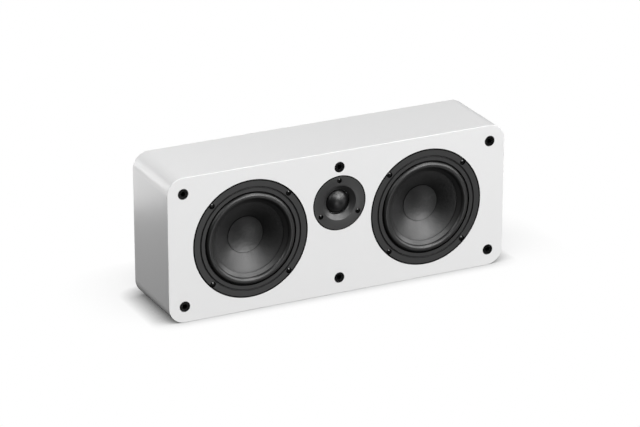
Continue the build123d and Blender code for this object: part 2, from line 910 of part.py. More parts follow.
tweeter_yoke_radius = tweeter_magnet_radius - tweeter_yoke_inset
tweeter_yoke_profile = make_face(Polyline(
    (tweeter_vent_radius, tweeter_seat_depth),
    (tweeter_pole_radius, tweeter_seat_depth),
    (tweeter_pole_radius, tweeter_yoke_depth),
    (tweeter_yoke_radius, tweeter_yoke_depth),
    (tweeter_yoke_radius, tweeter_yoke_back),
    (tweeter_vent_radius, tweeter_yoke_back),
    close=True,
))
parts["tweeter_yoke"] = turned(tweeter_yoke_profile, *tweeter_centre)
chamber_back = tweeter_yoke_back + chamber_length
chamber_profile = make_face(Polyline(
    (chamber_radius - chamber_wall, tweeter_yoke_back),
    (chamber_radius, tweeter_yoke_back),
    (chamber_radius, chamber_back - chamber_chamfer),
    (chamber_radius - chamber_chamfer, chamber_back),
    (0, chamber_back),
    (0, chamber_back - chamber_wall),
    (chamber_radius - chamber_wall, chamber_back - chamber_wall),
    close=True,
))
parts["tweeter_rear_chamber"] = turned(chamber_profile, *tweeter_centre)
parts["tweeter_screws"] = [
    pan_screw(x, z, counterbore_depth, tweeter_screw_scale) for x, z in tweeter_screw_places
]
tweeter_tab_height = tweeter_height - tweeter_magnet_radius - tweeter_tab_gap - tab_thickness / 2
for k in (-1, 1):
    blade = Pos(k * tab_spacing / 2, tweeter_tab_height) * Rectangle(tab_width, tab_thickness)
    driver_tabs.append(prism(blade, tweeter_seat_depth, tweeter_seat_depth + tab_length))
parts["driver_terminal_tabs"] = driver_tabs


# Grille sockets: rubber cups with four slits round the bore
def grille_socket(x, z):
    """One socket, its rim just proud of the baffle."""
    rim = socket_rim_radius
    face = -socket_rim_proud
    seat = socket_rim_thickness - socket_rim_proud
    floor = socket_length - socket_floor_thickness
    inner = socket_ring_radius
    outer = inner + socket_ring_slope
    bevel = socket_rim_bevel
    drop = face + socket_ring_drop
    profile = make_face(Polyline(
        (socket_bore_radius, drop),
        (inner, drop),
        (outer, face),
        (rim - bevel, face),
        (rim, face + bevel),
        (rim, seat),
        (socket_body_radius, seat),
        (socket_body_radius, socket_length - socket_foot_chamfer),
        (socket_body_radius - socket_foot_chamfer, socket_length),
        (0, socket_length),
        (0, floor),
        (socket_bore_radius, floor),
        close=True,
    ))
    slits = Rectangle(2 * socket_slit_reach, socket_slit_width)
    slits += Rectangle(socket_slit_width, 2 * socket_slit_reach)
    cutter = prism(Pos(x, z) * Rot(0, 0, 45) * slits, face, socket_bore_depth)
    return turned(profile, x, z) - cutter


parts["grille_sockets"] = [grille_socket(x, z) for x, z in socket_places]

# Terminal cup: a moulded recess with two bosses that carry the posts
cup_back = cup_floor_depth - cup_wall
flange_front = cabinet_depth - cup_flange_thickness
cup = prism(
    cup_rectangle(cup_flange_width, cup_flange_height, cup_corner_radius), flange_front, cabinet_depth
)


def cup_section(width, height, depth):
    """A rounded section of the cup at a depth."""
    plane = Plane.XZ.offset(-(front_y + depth))
    return plane * cup_rectangle(width, height, cup_recess_corner)


cup += loft([
    cup_section(cup_floor_width + 2 * cup_wall, cup_floor_height + 2 * cup_wall, cup_back),
    cup_section(cup_mouth_width + 2 * cup_wall, cup_mouth_height + 2 * cup_wall, flange_front),
])
cup -= loft([
    cup_section(cup_floor_width, cup_floor_height, cup_floor_depth),
    cup_section(cup_mouth_width, cup_mouth_height, cabinet_depth),
])
boss_top = cup_floor_depth + post_boss_height
for x, z in post_places.values():
    cup += prism(Pos(x, z) * Circle(post_boss_radius), cup_back, boss_top)
    cup -= prism(Pos(x, z) * Circle(stud_radius + glue_gap), cup_back, boss_top)
cup -= countersinks(cabinet_depth, cup_screw_places)
parts["terminal_cup"] = cup
parts["terminal_cup_screws"] = [rear_screw(x, z, cabinet_depth) for x, z in cup_screw_places]

# Binding posts: hollow stud, clamp washer and fluted knob
stud_end = cabinet_depth - stud_end_drop
washer_near = boss_top + clamp_washer_gap
washer_far = washer_near + clamp_washer_thickness
knob_near = washer_far + clamp_washer_gap
moving_bore = stud_radius + stud_running_clearance
nuts = []
tags = []
for pole, (x, z) in post_places.items():
    stud = prism(Pos(x, z) * Circle(stud_radius), cup_back - stud_inner_length, stud_end)
    stud -= prism(Pos(x, z) * Circle(banana_bore_radius), stud_end - banana_bore_depth, stud_end)
    wire_hole = Plane.XY.offset(z - stud_radius) * Pos(x, front_y + boss_top + wire_hole_rise) * Circle(
        wire_hole_radius
    )
    stud -= extrude(wire_hole, amount=2 * stud_radius)
    parts[f"{pole}_stud"] = stud
    parts[f"{pole}_clamp_washer"] = ring(moving_bore, clamp_washer_radius, washer_near, washer_far, x, z)
    grip = Circle(knob_radius)
    for fx, fz in around(knob_radius, knob_flute_count, 0, 0, 0):
        grip -= Pos(fx, fz) * Circle(knob_flute_radius)
    knob = prism(Pos(x, z) * grip, knob_near, stud_end)
    far_rim = knob_radius - knob_chamfer
    bevel = make_face(Polyline(
        (far_rim, stud_end),
        (far_rim + 2 * knob_chamfer, stud_end - 2 * knob_chamfer),
        (far_rim + 2 * knob_chamfer, stud_end),
        close=True,
    ))
    knob -= turned(bevel, x, z)
    knob -= prism(Pos(x, z) * Circle(moving_bore), knob_near, stud_end)
    parts[f"{pole}_knob"] = knob
    tag = Pos(x, z) * Circle(tag_radius)
    tag += Pos(x, z - tag_length / 2) * Rectangle(tab_width, tag_length)
    tag -= Pos(x, z) * Circle(stud_radius + glue_gap)
    tags.append(prism(tag, cup_back - tag_thickness, cup_back))
    nut = Pos(x, z) * RegularPolygon(nut_across_flats / 2, 6, major_radius=False)
    nut -= Pos(x, z) * Circle(stud_radius + glue_gap)
    nuts.append(prism(nut, cup_back - tag_thickness - nut_thickness, cup_back - tag_thickness))
parts["post_nuts"] = nuts
parts["solder_tags"] = tags

# Crossover on the rear panel behind the tweeter
board_far = inner_depth - standoff_length
board_near = board_far - board_thickness
crossover_board = Pos(0, board_centre_height) * Rectangle(board_width, board_height)
board_hole_radius = screw_hole_radius * small_screw_scale
parts["crossover_board"] = prism(crossover_board, board_near, board_far) - drill(
    board_hole_radius, board_near, board_far, board_hole_places
)
parts["crossover_standoffs"] = [
    ring(board_hole_radius, standoff_radius, board_far, inner_depth, x, z) for x, z in board_hole_places
]
board_screw_length = board_thickness + standoff_length + board_screw_bite
parts["crossover_screws"] = [
    pan_screw(x, z, board_near, small_screw_scale, board_screw_length)
    for x, z in board_hole_places
]
coil_places = [(k * coil_spread, board_centre_height - coil_drop) for k in (-1, 1)]
coil_far = board_near - component_gap
parts["crossover_coils"] = [
    ring(coil_inner_radius, coil_outer_radius, coil_far - coil_length, coil_far, x, z)
    for x, z in coil_places
]
capacitors = []
capacitor_y = front_y + coil_far - capacitor_radius
for row in range(capacitor_count):
    height = board_centre_height + capacitor_rise + capacitor_pitch * row
    capacitor = Cylinder(capacitor_radius, capacitor_length, rotation=(0, 90, 0))
    ends = capacitor.edges().filter_by(GeomType.CIRCLE)
    capacitor = chamfer(ends, capacitor_chamfer)
    capacitors.append(Pos(-capacitor_offset, capacitor_y, height) * capacitor)
parts["crossover_capacitors"] = capacitors
resistor_y = front_y + coil_far - resistor_width / 2
resistor_z = board_centre_height + capacitor_rise + capacitor_pitch
parts["crossover_resistor"] = Pos(resistor_offset, resistor_y, resistor_z) * Box(
    resistor_width, resistor_width, resistor_length
)


# Leads: from the posts to the crossover, and from there to the three drivers
def lead(route):
    """A round lead: straight runs joined by arcs as large as the runs allow."""
    points = [Vector(x, front_y + depth, z) for x, depth, z in route]
    radii = []
    for before, corner, after in zip(points, points[1:], points[2:]):
        half_turn = math.radians((corner - before).get_angle(after - corner)) / 2
        shorter = min((corner - before).length, (after - corner).length)
        radii.append(lead_arc_share * shorter / math.tan(half_turn))
    path = FilletPolyline(*points, radius=radii)
    print(f"Lead of {path.length:.0f} mm, its tightest bend {min(radii):.1f} mm")
    start = Plane(origin=points[0], z_dir=points[1] - points[0])
    return sweep(start * Circle(lead_radius), path=path)


def offset_from(place, sign, offsets):
    """Points at offsets from a place, each outward, in depth and in height."""
    x, depth, z = place
    return [(x + sign * out, depth + back, z + rise) for out, back, rise in offsets]


lead_row_height = board_centre_height - board_height / 2 + lead_edge_rise
leads = {}
for pole, (x, z) in post_places.items():
    sign = math.copysign(1, x)
    tag = (x, cup_back - tag_thickness, z - tag_length + lead_edge_rise)
    row = (sign * supply_row_offset, board_near, lead_row_height)
    leave = [(0, 0, 0), (0, -9, 0), (5, -16, 6), (9, -18, 20)]
    land = [(5, -20, -12), (0, -11, 0), (0, 0, 0)]
    leads[pole] = [lead(offset_from(tag, sign, leave) + offset_from(row, sign, land))]

    tab = (sign * tab_spacing / 2, tweeter_seat_depth + tab_length, tweeter_tab_height)
    row = (sign * tab_spacing / 2, board_near, lead_row_height)
    leave = [(0, 0, 0), (0, 16, 0)]
    land = [(0, -20, 0), (0, 0, 0)]
    leads[pole].append(lead(offset_from(tab, sign, leave) + offset_from(row, sign, land)))
tab_ends = {"positive": tab_spacing / 2, "negative": -tab_spacing / 2}
arrivals = {
    "positive": [(-15, 15, -2), (0, 11, 0), (0, 0, 0)],
    "negative": [(-14, 13, -3), (0, 11, 0), (0, 0, 0)],
}
for sign in sides.values():
    for pole, arrive in arrivals.items():
        row = (sign * woofer_row_offsets[pole], board_near, lead_row_height)
        window = (sign * brace_offset, lead_window_depth, middle_height - lead_window_drops[pole])
        tab = (
            sign * (woofer_offset + tab_ends[pole]),
            terminal_board_far + tab_thickness,
            woofer_tab_top - tab_length / 2,
        )
        leave = [(0, 0, 0), (0, -10, 0), (6, -20, -9)]
        cross = [(0, 0, 0), (18, -1, -11), (38, -2, -19)]
        leads[pole].append(lead(
            offset_from(row, sign, leave) + offset_from(window, sign, cross) + offset_from(tab, sign, arrive)
        ))
for pole, pole_leads in leads.items():
    parts[f"{pole}_leads"] = pole_leads

# Wall hangers: steel keyhole plates level with the rear face, their screws and the bumpers
plates = []
for x, z in hanger_places:
    outline = RectangleRounded(hanger_width, hanger_length, hanger_corner_radius)
    plate = Pos(x, z) * outline - keyhole(x, z)
    plates.append(prism(plate, cabinet_depth - hanger_thickness, cabinet_depth))
plate_cutters = countersinks(cabinet_depth, hanger_screw_places)
parts["keyhole_plates"] = [
    plate - plate_cutters[2 * index] - plate_cutters[2 * index + 1] for index, plate in enumerate(plates)
]
parts["hanger_screws"] = [rear_screw(x, z, cabinet_depth) for x, z in hanger_screw_places]
bumpers = []
for x, z in bumper_places:
    bumper = ring(0, bumper_radius, cabinet_depth, cabinet_depth + bumper_height, x, z)
    outer_rim = bumper.edges().filter_by(GeomType.CIRCLE).sort_by(Axis.Y)[-1]
    bumpers.append(chamfer(outer_rim, bumper_chamfer))
parts["rear_bumpers"] = bumpers

# One file for each piece
os.makedirs("parts", exist_ok=True)
for name, shape in parts.items():
    if isinstance(shape, list):
        shape = Compound(children=[Solid(piece.solid().wrapped) for piece in shape])
    export_step(shape, f"parts/{name}.step")
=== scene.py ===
import json
import logging
import math
from dataclasses import dataclass, field
from enum import Enum

import bpy
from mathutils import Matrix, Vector


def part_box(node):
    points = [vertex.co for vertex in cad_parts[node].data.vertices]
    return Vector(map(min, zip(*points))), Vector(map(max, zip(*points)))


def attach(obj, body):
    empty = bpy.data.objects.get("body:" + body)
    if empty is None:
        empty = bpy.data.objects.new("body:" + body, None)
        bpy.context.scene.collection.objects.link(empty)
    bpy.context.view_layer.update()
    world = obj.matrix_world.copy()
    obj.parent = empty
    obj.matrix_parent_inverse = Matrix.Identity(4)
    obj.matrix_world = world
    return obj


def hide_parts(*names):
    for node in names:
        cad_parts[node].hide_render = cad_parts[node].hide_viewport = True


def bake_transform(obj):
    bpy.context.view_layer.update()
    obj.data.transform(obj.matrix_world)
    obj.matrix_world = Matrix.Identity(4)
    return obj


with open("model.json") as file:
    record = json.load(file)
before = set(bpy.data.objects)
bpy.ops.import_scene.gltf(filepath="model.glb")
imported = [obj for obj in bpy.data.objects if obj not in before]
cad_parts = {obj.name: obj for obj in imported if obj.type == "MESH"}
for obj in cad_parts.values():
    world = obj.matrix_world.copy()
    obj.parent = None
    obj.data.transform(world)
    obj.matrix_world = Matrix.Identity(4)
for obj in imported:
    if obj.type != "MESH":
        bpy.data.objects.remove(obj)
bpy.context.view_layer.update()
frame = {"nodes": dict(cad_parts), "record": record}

log = logging.getLogger("speaker")
Point = tuple[float, float]
Triple = tuple[float, float, float]
Colour = Triple
Socket = bpy.types.NodeSocket
# The woofer flanges' face in Y. Every depth here runs back from it.
FRONT_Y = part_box("woofer_left_chassis")[0].y
# What the far lights face, and how far from it they hang.
LIGHT_AIM = (0.0, -0.05, 0.1)
LIGHT_REACH = 4.0
FULL_TURN = 2 * math.pi
SEAM = 1e-6
DUST = (0.5, 0.49, 0.47)
# The colour that the painted shade in gaps and inner corners darkens towards.
PAINTED_SHADE_COLOUR = (0.0, 0.0, 0.0)


class Grain(Enum):
    """The fine structure that a surface shows close up."""

    PEEL = "lacquer_peel"
    CAST = "cast_skin"
    PORES = "rubber_pores"
    PULP = "pressed_pulp"
    WEAVE = "woven_threads"
    BRUSH = "brushed_lines"
    FIBRE = "pressed_fibres"
    WINDING = "wire_windings"
    FLEECE = "loose_fleece"


class Graph:
    """Places and joins the nodes of one shader tree."""

    def __init__(self, tree: bpy.types.NodeTree) -> None:
        """Takes hold of a tree.

        Args:
            tree: The empty tree to fill.
        """
        self.tree = tree

    def add(self, kind: str, **settings: object) -> bpy.types.Node:
        """Adds a node.

        Args:
            kind: The node's type name.
            settings: Values for the node's own properties.

        Returns:
            The new node.
        """
        node = self.tree.nodes.new(kind)
        for name, value in settings.items():
            setattr(node, name, value)
        return node

    def join(self, source: Socket, target: Socket) -> None:
        """Joins an output to an input."""
        self.tree.links.new(source, target)

    def feed(self, value: object, target: Socket) -> None:
        """Sets an input.

        Args:
            value: An output to join to it, or a plain value.
            target: The input.
        """
        if isinstance(value, Socket):
            self.join(value, target)
        else:
            target.default_value = value

    def maths(self, operation: str, *values: object) -> Socket:
        """Works out a number from sockets and plain numbers.

        Args:
            operation: The Math node's operation.
            values: Its inputs in order, each a socket or a number.

        Returns:
            The result's socket.
        """
        node = self.add("ShaderNodeMath", operation=operation)
        for slot, value in zip(node.inputs, values):
            self.feed(value, slot)
        return node.outputs["Value"]

    def weighed(self, first: Socket, second: Socket, share: float) -> Socket:
        """Mixes two numbers.

        Args:
            first: The number that gets the share.
            second: The number that gets the rest.
            share: From 0 to 1.

        Returns:
            The mixed number.
        """
        return self.maths("MULTIPLY_ADD", first, share, self.maths("MULTIPLY", second, 1 - share))

    def noise(self, vector: Socket, scale: object, detail: float) -> Socket:
        """Cloudy noise.

        Args:
            vector: Where to read it.
            scale: Clouds in a metre, a socket or a number.
            detail: How many finer layers it has.

        Returns:
            The noise from 0 to 1.
        """
        node = self.add("ShaderNodeTexNoise")
        self.join(vector, node.inputs["Vector"])
        node.inputs["Detail"].default_value = detail
        self.feed(scale, node.inputs["Scale"])
        return node.outputs["Fac"]

    def stretched(self, vector: Socket, stretch: Triple) -> Socket:
        """Stretches a pattern along the axes.

        Args:
            vector: The coordinates to stretch.
            stretch: A factor for each axis.

        Returns:
            The stretched coordinates.
        """
        node = self.add("ShaderNodeMapping")
        self.join(vector, node.inputs["Vector"])
        node.inputs["Scale"].default_value = stretch
        return node.outputs["Vector"]

    def bands(self, vector: Socket, axis: str, scale: Socket) -> Socket:
        """Even soft bands across one axis.

        Args:
            vector: Where to read them.
            axis: X, Y or Z.
            scale: Bands in a metre, a socket.

        Returns:
            The bands from 0 to 1.
        """
        node = self.add("ShaderNodeTexWave", wave_type="BANDS", bands_direction=axis)
        self.join(vector, node.inputs["Vector"])
        self.join(scale, node.inputs["Scale"])
        return node.outputs["Fac"]


@dataclass
class GroupShelf:
    """Builds each shared node group once and hands it out by name.

    Args:
        cloud_share: The scale of a grain's broad clouds, as a share of the grain's.
        clump_share: The scale of the pulp's clumps, as a share of the grain's.
        edge_radius: How wide the edge band is, in metres, for rubbed wear and for the painted highlight
            on the grille sockets' rims.
        edge_gain: How strongly the rubbing, or the painted highlight, shows.
        painted_shade_power: How fast the painted shade in a gap deepens as the gap closes.
        speck_scale: Dust specks in a metre.
        made: The groups so far.
    """

    cloud_share: float = 0.06
    clump_share: float = 0.28
    edge_radius: float = 0.00035
    edge_gain: float = 6.0
    painted_shade_power: float = 2.2
    speck_scale: float = 1400.0
    made: dict[str, bpy.types.NodeTree] = field(default_factory=dict)

    def start(
        self, name: str, takes: dict[str, str], gives: dict[str, str]
    ) -> tuple[Graph, bpy.types.NodeOutputs, bpy.types.NodeInputs]:
        """Starts a group with its sockets.

        Args:
            name: The group's name.
            takes: Input names with their socket types.
            gives: Output names with their socket types.

        Returns:
            The new group's graph, what the group takes, and what it gives.
        """
        tree = bpy.data.node_groups.new(name, "ShaderNodeTree")
        for way, sockets in (("INPUT", takes), ("OUTPUT", gives)):
            for label, kind in sockets.items():
                tree.interface.new_socket(label, in_out=way, socket_type=kind)
        self.made[name] = tree
        graph = Graph(tree)
        return graph, graph.add("NodeGroupInput").outputs, graph.add("NodeGroupOutput").inputs

    def grain(self, kind: Grain) -> bpy.types.NodeTree:
        """The group that draws one kind of grain.

        Args:
            kind: Which grain.

        Returns:
            A group from Vector and Scale to Height and Mask.
        """
        if kind.value in self.made:
            return self.made[kind.value]
        graph, taken, given = self.start(
            kind.value,
            {"Vector": "NodeSocketVector", "Scale": "NodeSocketFloat"},
            {"Height": "NodeSocketFloat", "Mask": "NodeSocketFloat"},
        )
        height, mask = self.drawn(graph, kind, taken["Vector"], taken["Scale"])
        graph.join(height, given["Height"])
        graph.join(mask, given["Mask"])
        return graph.tree

    def drawn(self, graph: Graph, kind: Grain, vector: Socket, scale: Socket) -> tuple[Socket, Socket]:
        """Draws the height and the tone mask of a grain.

        Args:
            graph: The group's graph.
            kind: Which grain.
            vector: The surface's coordinates.
            scale: Grains in a metre.

        Returns:
            The sockets of the height and of the mask.
        """
        broad = graph.noise(vector, graph.maths("MULTIPLY", scale, self.cloud_share), detail=3.0)
        if kind is Grain.PEEL:
            return graph.noise(vector, scale, detail=1.0), broad
        if kind is Grain.CAST:
            skin = graph.noise(vector, scale, detail=4.0)
            return skin, graph.weighed(skin, broad, share=0.4)
        if kind is Grain.PORES:
            pore = graph.add("ShaderNodeTexVoronoi", feature="SMOOTH_F1")
            graph.join(vector, pore.inputs["Vector"])
            graph.join(scale, pore.inputs["Scale"])
            return graph.maths("MULTIPLY", pore.outputs["Distance"], broad), broad
        if kind is Grain.PULP:
            fibres = graph.noise(graph.stretched(vector, stretch=(1.0, 0.4, 2.2)), scale, detail=5.0)
            clumps = graph.noise(vector, graph.maths("MULTIPLY", scale, self.clump_share), detail=2.0)
            return graph.weighed(fibres, clumps, share=0.5), graph.weighed(clumps, fibres, share=0.65)
        if kind is Grain.WEAVE:
            warp, weft = graph.bands(vector, "X", scale), graph.bands(vector, "Z", scale)
            thread = graph.maths("MULTIPLY", warp, weft)
            return thread, graph.weighed(thread, broad, share=0.5)
        if kind is Grain.BRUSH:
            lines = graph.noise(graph.stretched(vector, stretch=(1.0, 1.0, 0.03)), scale, detail=3.0)
            return lines, graph.weighed(lines, broad, share=0.5)
        if kind is Grain.FIBRE:
            straw = graph.noise(graph.stretched(vector, stretch=(0.35, 1.0, 1.6)), scale, detail=6.0)
            return straw, graph.weighed(straw, broad, share=0.7)
        if kind is Grain.WINDING:
            wire = graph.bands(vector, "Y", scale)
            return wire, graph.weighed(wire, broad, share=0.7)
        tuft = graph.noise(vector, scale, detail=8.0)
        return tuft, graph.maths("MULTIPLY", tuft, broad)

    def edges(self) -> bpy.types.NodeTree:
        """The group that finds edges: where paint thins and metal is rubbed, and where the grille sockets
        get a painted highlight on their rims.

        Returns:
            A group from Noise to Mask.
        """
        name = "edge_wear_and_glint"
        if name in self.made:
            return self.made[name]
        graph, taken, given = self.start(name, {"Noise": "NodeSocketFloat"}, {"Mask": "NodeSocketFloat"})
        bevel = graph.add("ShaderNodeBevel", samples=4)
        bevel.inputs["Radius"].default_value = self.edge_radius
        plain = graph.add("ShaderNodeNewGeometry")
        dot = graph.add("ShaderNodeVectorMath", operation="DOT_PRODUCT")
        graph.join(bevel.outputs["Normal"], dot.inputs[0])
        graph.join(plain.outputs["Normal"], dot.inputs[1])
        bent = graph.maths("SUBTRACT", 1.0, dot.outputs["Value"])
        rubbed = graph.maths("MULTIPLY", bent, graph.maths("MULTIPLY", taken["Noise"], self.edge_gain))
        graph.join(graph.maths("MINIMUM", rubbed, 1.0), given["Mask"])
        return graph.tree

    def painted_nook_shade(self) -> bpy.types.NodeTree:
        """The group that finds narrow gaps, slots and sharp inner corners, where the finishes get painted
        shade.

        Returns:
            A group from Reach to Mask.
        """
        name = "painted_nook_shade_group"
        if name in self.made:
            return self.made[name]
        graph, taken, given = self.start(name, {"Reach": "NodeSocketFloat"}, {"Mask": "NodeSocketFloat"})
        shade = graph.add("ShaderNodeAmbientOcclusion", samples=6)
        graph.join(taken["Reach"], shade.inputs["Distance"])
        open_share = graph.maths("POWER", shade.outputs["AO"], self.painted_shade_power)
        graph.join(graph.maths("SUBTRACT", 1.0, open_share), given["Mask"])
        return graph.tree

    def dust(self) -> bpy.types.NodeTree:
        """The group that finds where fine dust settles: faces that look up.

        Returns:
            A group from Vector to Mask.
        """
        name = "settled_dust"
        if name in self.made:
            return self.made[name]
        graph, taken, given = self.start(
            name, {"Vector": "NodeSocketVector"}, {"Mask": "NodeSocketFloat"}
        )
        parts = graph.add("ShaderNodeSeparateXYZ")
        graph.join(graph.add("ShaderNodeNewGeometry").outputs["Normal"], parts.inputs["Vector"])
        upward = graph.maths("MAXIMUM", parts.outputs["Z"], 0.0)
        specks = graph.noise(taken["Vector"], self.speck_scale, detail=2.0)
        graph.join(graph.maths("MULTIPLY", upward, specks), given["Mask"])
        return graph.tree


SHELF = GroupShelf()


@dataclass(frozen=True)
class Finish:
    """A surface finish with its fine structure.

    Args:
        name: The material's name.
        colour: Its main colour, linear.
        drift: The colour that it drifts to in its grain.
        grain: The kind of grain.
        grain_scale: Grains in a metre.
        relief: How deep the grain is, in metres.
        rough: Roughness where the mask is low and where it is high.
        metallic: 1 for bare metal.
        wear_and_glint: The colour that shows at edges, or None: rubbed wear on most finishes, a painted
            highlight on the grille sockets' rims.
        dust: The share of settled dust on faces that look up.
        coat: The weight of a clear coat.
        sheen: The weight of a soft fibre sheen.
        specular: The strength of the plain reflection.
        painted_shade_reach: How far from a facing wall the painted shade reaches, in metres; it darkens
            the colour and dims the shine in gaps and inner corners.
    """

    name: str
    colour: Colour
    drift: Colour
    grain: Grain
    grain_scale: float
    relief: float
    rough: Point
    metallic: float = 0.0
    wear_and_glint: Colour | None = None
    dust: float = 0.0
    coat: float = 0.0
    sheen: float = 0.0
    specular: float = 0.5
    painted_shade_reach: float = 0.0

    def material(self) -> bpy.types.Material:
        """Builds the material, or finds it if it is built already.

        Returns:
            The material.
        """
        if self.name in bpy.data.materials:
            return bpy.data.materials[self.name]
        made = bpy.data.materials.new(self.name)
        made.use_nodes = True
        made.node_tree.nodes.clear()
        graph = Graph(made.node_tree)
        shader = graph.add("ShaderNodeBsdfPrincipled")
        graph.join(shader.outputs["BSDF"], graph.add("ShaderNodeOutputMaterial").inputs["Surface"])
        for name, value in (
            ("Metallic", self.metallic),
            ("Coat Weight", self.coat),
            ("Sheen Weight", self.sheen),
            ("Specular IOR Level", self.specular),
        ):
            shader.inputs[name].default_value = value
        place = graph.add("ShaderNodeTexCoord").outputs["Object"]
        grain = graph.add("ShaderNodeGroup", node_tree=SHELF.grain(self.grain))
        graph.join(place, grain.inputs["Vector"])
        grain.inputs["Scale"].default_value = self.grain_scale
        colour = self.toned(graph, grain.outputs["Mask"], self.colour, self.drift)
        # Edge colour: rubbed wear on most finishes, a painted highlight on the grille sockets' rims.
        if self.wear_and_glint:
            edge = graph.add("ShaderNodeGroup", node_tree=SHELF.edges())
            graph.join(grain.outputs["Mask"], edge.inputs["Noise"])
            colour = self.toned(graph, edge.outputs["Mask"], colour, self.wear_and_glint)
        if self.dust:
            dusty = graph.add("ShaderNodeGroup", node_tree=SHELF.dust())
            graph.join(place, dusty.inputs["Vector"])
            share = graph.maths("MULTIPLY", dusty.outputs["Mask"], self.dust)
            colour = self.toned(graph, share, colour, DUST)
        # Painted shade: gaps, slots and inner corners darken towards black and lose their shine, standing
        # in for the shade there.
        if self.painted_shade_reach:
            painted_shade = graph.add("ShaderNodeGroup", node_tree=SHELF.painted_nook_shade())
            painted_shade.inputs["Reach"].default_value = self.painted_shade_reach
            colour = self.toned(graph, painted_shade.outputs["Mask"], colour, PAINTED_SHADE_COLOUR)
            open_share = graph.maths("SUBTRACT", 1.0, painted_shade.outputs["Mask"])
            shine = graph.maths("MULTIPLY", open_share, self.specular)
            graph.join(shine, shader.inputs["Specular IOR Level"])
        graph.join(colour, shader.inputs["Base Color"])
        spread = graph.add("ShaderNodeMapRange")
        graph.join(grain.outputs["Mask"], spread.inputs["Value"])
        spread.inputs["To Min"].default_value = self.rough[0]
        spread.inputs["To Max"].default_value = self.rough[1]
        graph.join(spread.outputs["Result"], shader.inputs["Roughness"])
        bump = graph.add("ShaderNodeBump")
        bump.inputs["Distance"].default_value = self.relief
        graph.join(grain.outputs["Height"], bump.inputs["Height"])
        graph.join(bump.outputs["Normal"], shader.inputs["Normal"])
        return made

    @staticmethod
    def toned(graph: Graph, mask: Socket, low: object, high: object) -> Socket:
        """Mixes two colours by a mask.

        Args:
            graph: The material's graph.
            mask: From 0 for the first colour to 1 for the second.
            low: The first colour, a socket or plain numbers.
            high: The second colour, a socket or plain numbers.

        Returns:
            The mixed colour.
        """
        mix = graph.add("ShaderNodeMix", data_type="RGBA")
        graph.join(mask, mix.inputs["Factor"])
        for slot, value in (("A", low), ("B", high)):
            socket = next(s for s in mix.inputs if s.name == slot and s.type == "RGBA")
            graph.feed(value if isinstance(value, Socket) else (*value, 1.0), socket)
        return next(s for s in mix.outputs if s.type == "RGBA")


